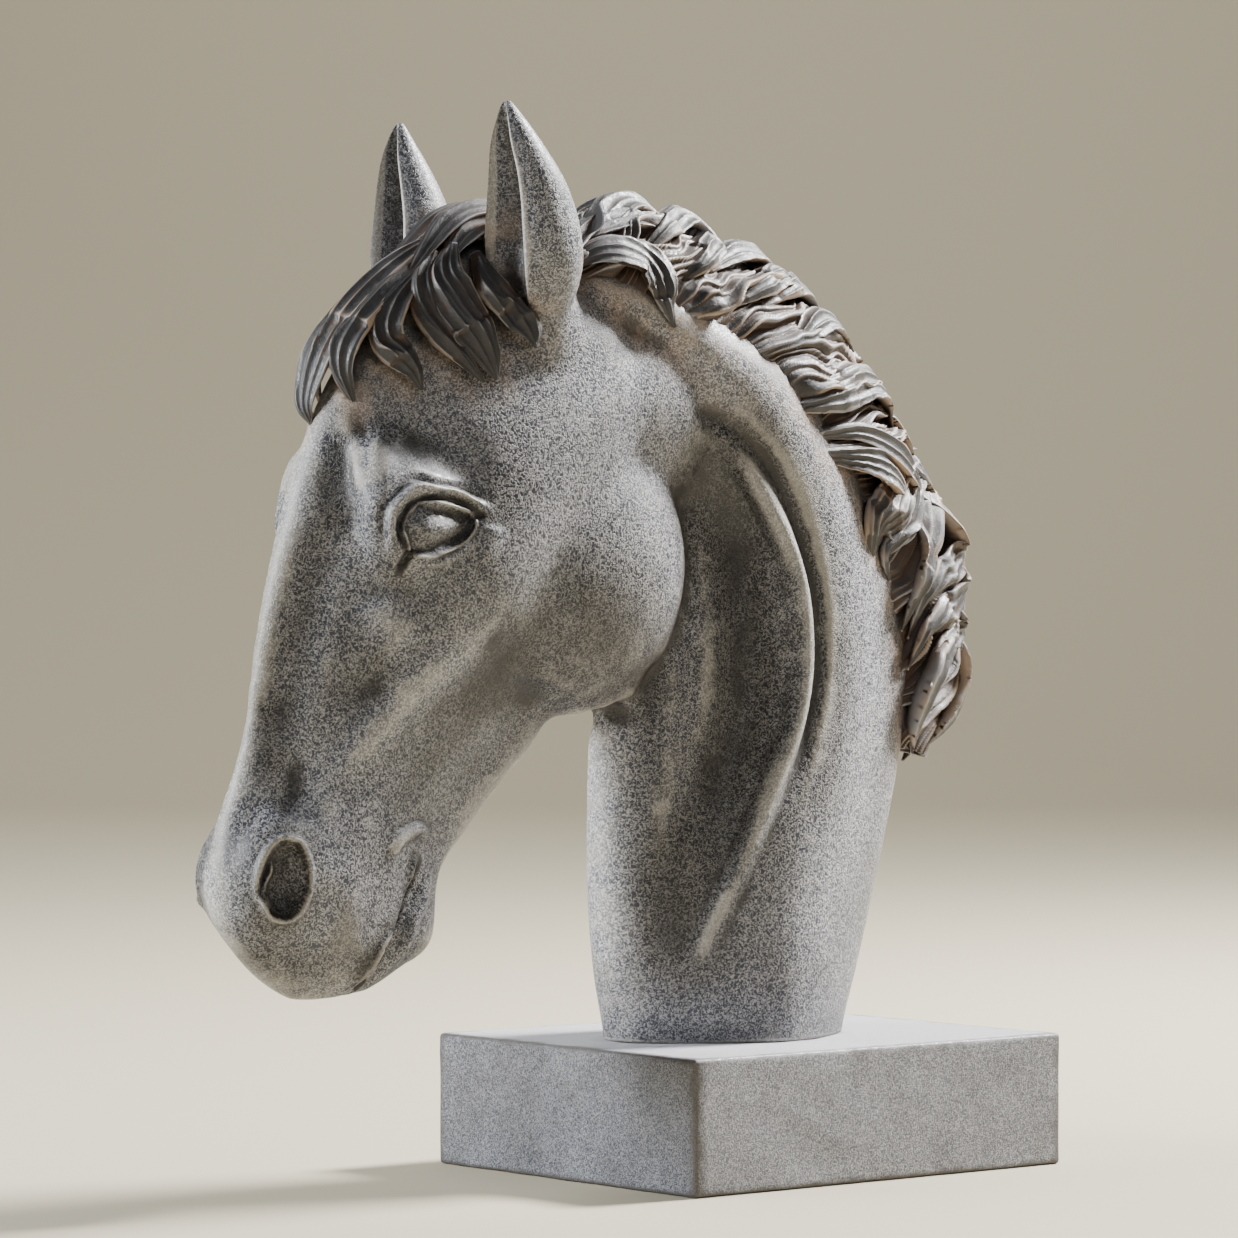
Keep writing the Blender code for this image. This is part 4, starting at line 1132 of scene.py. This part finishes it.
# %% [markdown]
# ## The skin material
# The skin is slate grey under broken flecks of cream. The flecks stand out where the wash is dark and sink in
# where it is pale; the wash is partly painted light and shade. Grooves are charcoal, raised edges pale, and
# beside the hair a tan wash has run onto it. Painted shade darkens the closed-in places to charcoal, and the
# darkest wash strokes paint shadow into the creases of the mouth, the lids and the nostrils.

# %% Skin material
def bare_material(name):
    made = bpy.data.materials.new(name)
    made.use_nodes = True
    tree = made.node_tree
    shader = tree.nodes["Principled BSDF"]
    place = tree.nodes.new("ShaderNodeTexCoord").outputs["Object"]
    return made, tree, shader, place


def skin_material(name, on_skin):
    made, tree, shader, place = bare_material(name)
    grain = placed(tree, grain_group, Place=place, Scale=800.0 if on_skin else 1050.0)
    cloud = placed(tree, cloud_group, Place=place, Scale=24.0).outputs["Cloud"]
    patch = placed(tree, cloud_group, Place=place, Scale=110.0).outputs["Cloud"]
    fine = placed(tree, rub_group, Relief=attribute(tree, "relief"), Reach=0.85, Break_up=patch)
    broad = placed(tree, rub_group, Relief=attribute(tree, "broad_relief"), Reach=3.2, Break_up=cloud)
    shelter = attribute(tree, "shelter")
    tone = maths(tree, "ADD", 0.30 if on_skin else 0.58, maths(tree, "MULTIPLY", cloud, 0.12 if on_skin else 0.3))
    tone = maths(tree, "ADD", tone, maths(tree, "MULTIPLY", patch, 0.07))
    # The wash attribute moves the tone: partly the casting's own wash, partly painted light and shade.
    tone = maths(tree, "ADD", tone, maths(tree, "MULTIPLY", attribute(tree, "wash_and_light"), 0.33))
    if on_skin:
        tone = maths(tree, "ADD", tone, maths(tree, "MULTIPLY", broad.outputs["High"], 0.12))
        tone = maths(tree, "SUBTRACT", tone, maths(tree, "MULTIPLY", broad.outputs["Low"], 0.15))
    # Painted shade: closed-in places are darkened.
    tone = maths(tree, "SUBTRACT", tone, maths(tree, "MULTIPLY", shelter, 0.4), clamp=True)
    ground = mixed(tree, tone, (0.010, 0.010, 0.013, 1), (0.090, 0.098, 0.130, 1))
    flecked = mixed(tree, tone, (0.175, 0.165, 0.155, 1), (0.62, 0.615, 0.635, 1))
    fleck = maths(tree, "MULTIPLY", grain.outputs["Fleck"], 1.0 if on_skin else 0.62)
    colour = mixed(tree, fleck, ground, flecked)
    colour = mixed(tree, maths(tree, "MULTIPLY", fine.outputs["Low"], 0.85), colour, (0.022, 0.019, 0.018, 1))
    if on_skin:
        colour = mixed(tree, maths(tree, "MULTIPLY", fine.outputs["High"], 0.4), colour, CREAM)
        tan = maths(tree, "MULTIPLY", attribute(tree, "hair_wash"), ranged(tree, patch, 0.2, 0.9, 0.1, 0.42))
        colour = mixed(tree, tan, colour, TAN)
    else:
        # Painted light: where the attribute is high, on the block's top and +X face, the stone is painted pale.
        painted_lit_faces = ranged(tree, attribute(tree, "wash_and_light"), 0.4, 1.2, 0.0, 0.6)
        colour = mixed(tree, painted_lit_faces, colour, (0.62, 0.62, 0.645, 1))
        colour = mixed(tree, maths(tree, "MULTIPLY", fine.outputs["High"], 0.8), colour, (0.07, 0.06, 0.055, 1))
    # Painted shade: the most closed-in places are painted charcoal.
    closed_in_shade = ranged(tree, shelter, 0.35, 0.95, 0.0, 0.8)
    colour = mixed(tree, closed_in_shade, colour, SHADE_CHARCOAL)
    # Painted shadow: where the wash strokes are darkest, in the mouth, lid, tear and nostril lines, the creases are
    # painted near black.
    line = ranged(tree, attribute(tree, "wash_and_light"), -1.2, -2.4, 0.0, 0.92)
    colour = mixed(tree, line, colour, (0.017, 0.013, 0.011, 1))
    tree.links.new(colour, shader.inputs["Base Color"])
    tree.links.new(ranged(tree, grain.outputs["Height"], 0.1, 0.9, 0.42, 0.66), shader.inputs["Roughness"])
    bump = node(tree, "ShaderNodeBump", Strength=0.5, Distance=0.0004, Height=grain.outputs["Height"])
    tree.links.new(bump.outputs["Normal"], shader.inputs["Normal"])
    shader.inputs["Specular IOR Level"].default_value = 0.5
    return made


# %% [markdown]
# ## The hair material
# The hair was left dark, with an umber stain in its hollows, and then its ridges were rubbed with cream and
# a cool grey. Only the sharp ridges caught the paint, so the hair reads as thin pale lines on a dark ground.
# The deepest hollows between the locks are painted near black as shade.

# %% Hair material
def hair_material():
    made, tree, shader, place = bare_material("hair grey over umber")
    grain = placed(tree, grain_group, Place=place, Scale=900.0)
    cloud = placed(tree, cloud_group, Place=place, Scale=40.0).outputs["Cloud"]
    patch = placed(tree, cloud_group, Place=place, Scale=160.0).outputs["Cloud"]
    fine = placed(tree, rub_group, Relief=attribute(tree, "relief"), Reach=0.42, Break_up=patch)
    broad = placed(tree, rub_group, Relief=attribute(tree, "broad_relief"), Reach=2.6, Break_up=cloud)
    shelter = attribute(tree, "shelter")
    ground = mixed(tree, cloud, (0.015, 0.0145, 0.0155, 1), (0.034, 0.033, 0.035, 1))
    ground = mixed(tree, maths(tree, "MULTIPLY", broad.outputs["High"], 0.35), ground, (0.062, 0.061, 0.067, 1))
    ground = mixed(tree, maths(tree, "MULTIPLY", grain.outputs["Fleck"], 0.12), ground, (0.17, 0.14, 0.11, 1))
    ground = mixed(tree, ranged(tree, shelter, 0.1, 0.6, 0.0, 0.55), ground, (0.115, 0.063, 0.037, 1))
    colour = mixed(tree, maths(tree, "MULTIPLY", fine.outputs["Low"], 0.8), ground, (0.062, 0.034, 0.020, 1))
    rubbed = mixed(tree, cloud, (0.37, 0.27, 0.19, 1), (0.25, 0.25, 0.268, 1))
    lines = ranged(tree, attribute(tree, "relief"), 0.22, 0.62, 0.0, 0.75)
    colour = mixed(tree, lines, colour, rubbed)
    # Painted shade: the most closed-in hollows between the locks are painted near black.
    colour = mixed(tree, ranged(tree, shelter, 0.5, 1.0, 0.0, 0.85), colour, (0.020, 0.012, 0.008, 1))
    tree.links.new(colour, shader.inputs["Base Color"])
    tree.links.new(ranged(tree, grain.outputs["Height"], 0.1, 0.9, 0.42, 0.66), shader.inputs["Roughness"])
    bump = node(tree, "ShaderNodeBump", Strength=0.3, Distance=0.0003, Height=grain.outputs["Height"])
    tree.links.new(bump.outputs["Normal"], shader.inputs["Normal"])
    shader.inputs["Specular IOR Level"].default_value = 0.45
    return made


skin = skin_material("skin grey", True)
hair = hair_material()
stone = skin_material("plinth grey", False)
for piece in (head_and_neck, near_ear, far_ear):
    piece.data.materials.append(skin)
for piece in hair_pieces:
    piece.data.materials.append(hair)
plinth.data.materials.append(stone)
print("materials", [material.name for material in (skin, hair, stone)])

# %% [markdown]
# ## Floor and light
# Floor and backdrop are one plain pale sweep. A soft light on the right and a little behind draws the pale rims, a
# broad one on the left fills the muzzle and the throat, and the side towards the camera keeps its dark wash.

# %% Floor
SWEEP_FRONT = -10.0
SWEEP_FLAT = 3.6
SWEEP_ROUND = 1.6
SWEEP_TOP = 4.5
SWEEP_HALF = 10.0
profile = [(SWEEP_FRONT, 0), (SWEEP_FLAT, 0)]
for turn in np.radians(np.arange(3, 91, 3)):
    profile.append((SWEEP_FLAT + SWEEP_ROUND * math.sin(turn), SWEEP_ROUND * (1 - math.cos(turn))))
profile.append((SWEEP_FLAT + SWEEP_ROUND, SWEEP_TOP))
sweep_clay = bmesh.new()
rows = [
    [sweep_clay.verts.new(forward * away + up * high + right * aside) for aside in (-SWEEP_HALF, SWEEP_HALF)]
    for away, high in profile
]
for (a, b), (c, d) in zip(rows, rows[1:]):
    sweep_clay.faces.new((a, b, d, c)).smooth = True
sweep_mesh = bpy.data.meshes.new("sweep")
sweep_clay.to_mesh(sweep_mesh)
sweep_clay.free()
sweep = bpy.data.objects.new("sweep", sweep_mesh)
bpy.context.scene.collection.objects.link(sweep)
sweep_paint = bpy.data.materials.new("pale sweep")
sweep_paint.use_nodes = True
sweep_shader = sweep_paint.node_tree.nodes["Principled BSDF"]
sweep_shader.inputs["Base Color"].default_value = (0.40, 0.357, 0.262, 1)
sweep_shader.inputs["Roughness"].default_value = 0.85
sweep.data.materials.append(sweep_paint)

# %% Lights
AIM = Vector((0, -0.06, 0.22))


def soft_light(name, place, aim, size, power, colour):
    data = bpy.data.lights.new(name, "AREA")
    data.shape = "DISK"
    data.size = size
    data.energy = power
    data.color = colour
    lamp = bpy.data.objects.new(name, data)
    lamp.location = place
    lamp.rotation_euler = (aim - place).to_track_quat("-Z", "Y").to_euler()
    bpy.context.scene.collection.objects.link(lamp)


soft_light("right key", AIM + right * 1.2 + forward * 0.75 + up * 1.2, AIM, 0.45, 210, (1.0, 0.99, 0.98))
soft_light("left window", AIM - right * 1.4 - forward * 0.25 + up * 0.5, AIM, 0.7, 54, (0.92, 0.96, 1.0))
soft_light("front fill", AIM + right * 0.5 - forward * 1.8 + up * 1.0, AIM, 1.0, 6, (0.90, 0.94, 1.0))
soft_light("backdrop light", forward * 2.6 + up * 3.2, forward * 4.6 + up * 0.4, 2.5, 125, (1.0, 0.99, 0.96))

world = bpy.data.worlds.new("pale room")
bpy.context.scene.world = world
world.use_nodes = True
world.node_tree.nodes["Background"].inputs["Color"].default_value = (0.70, 0.76, 0.86, 1)
world.node_tree.nodes["Background"].inputs["Strength"].default_value = 0.11
print("lights", len(bpy.data.lights))
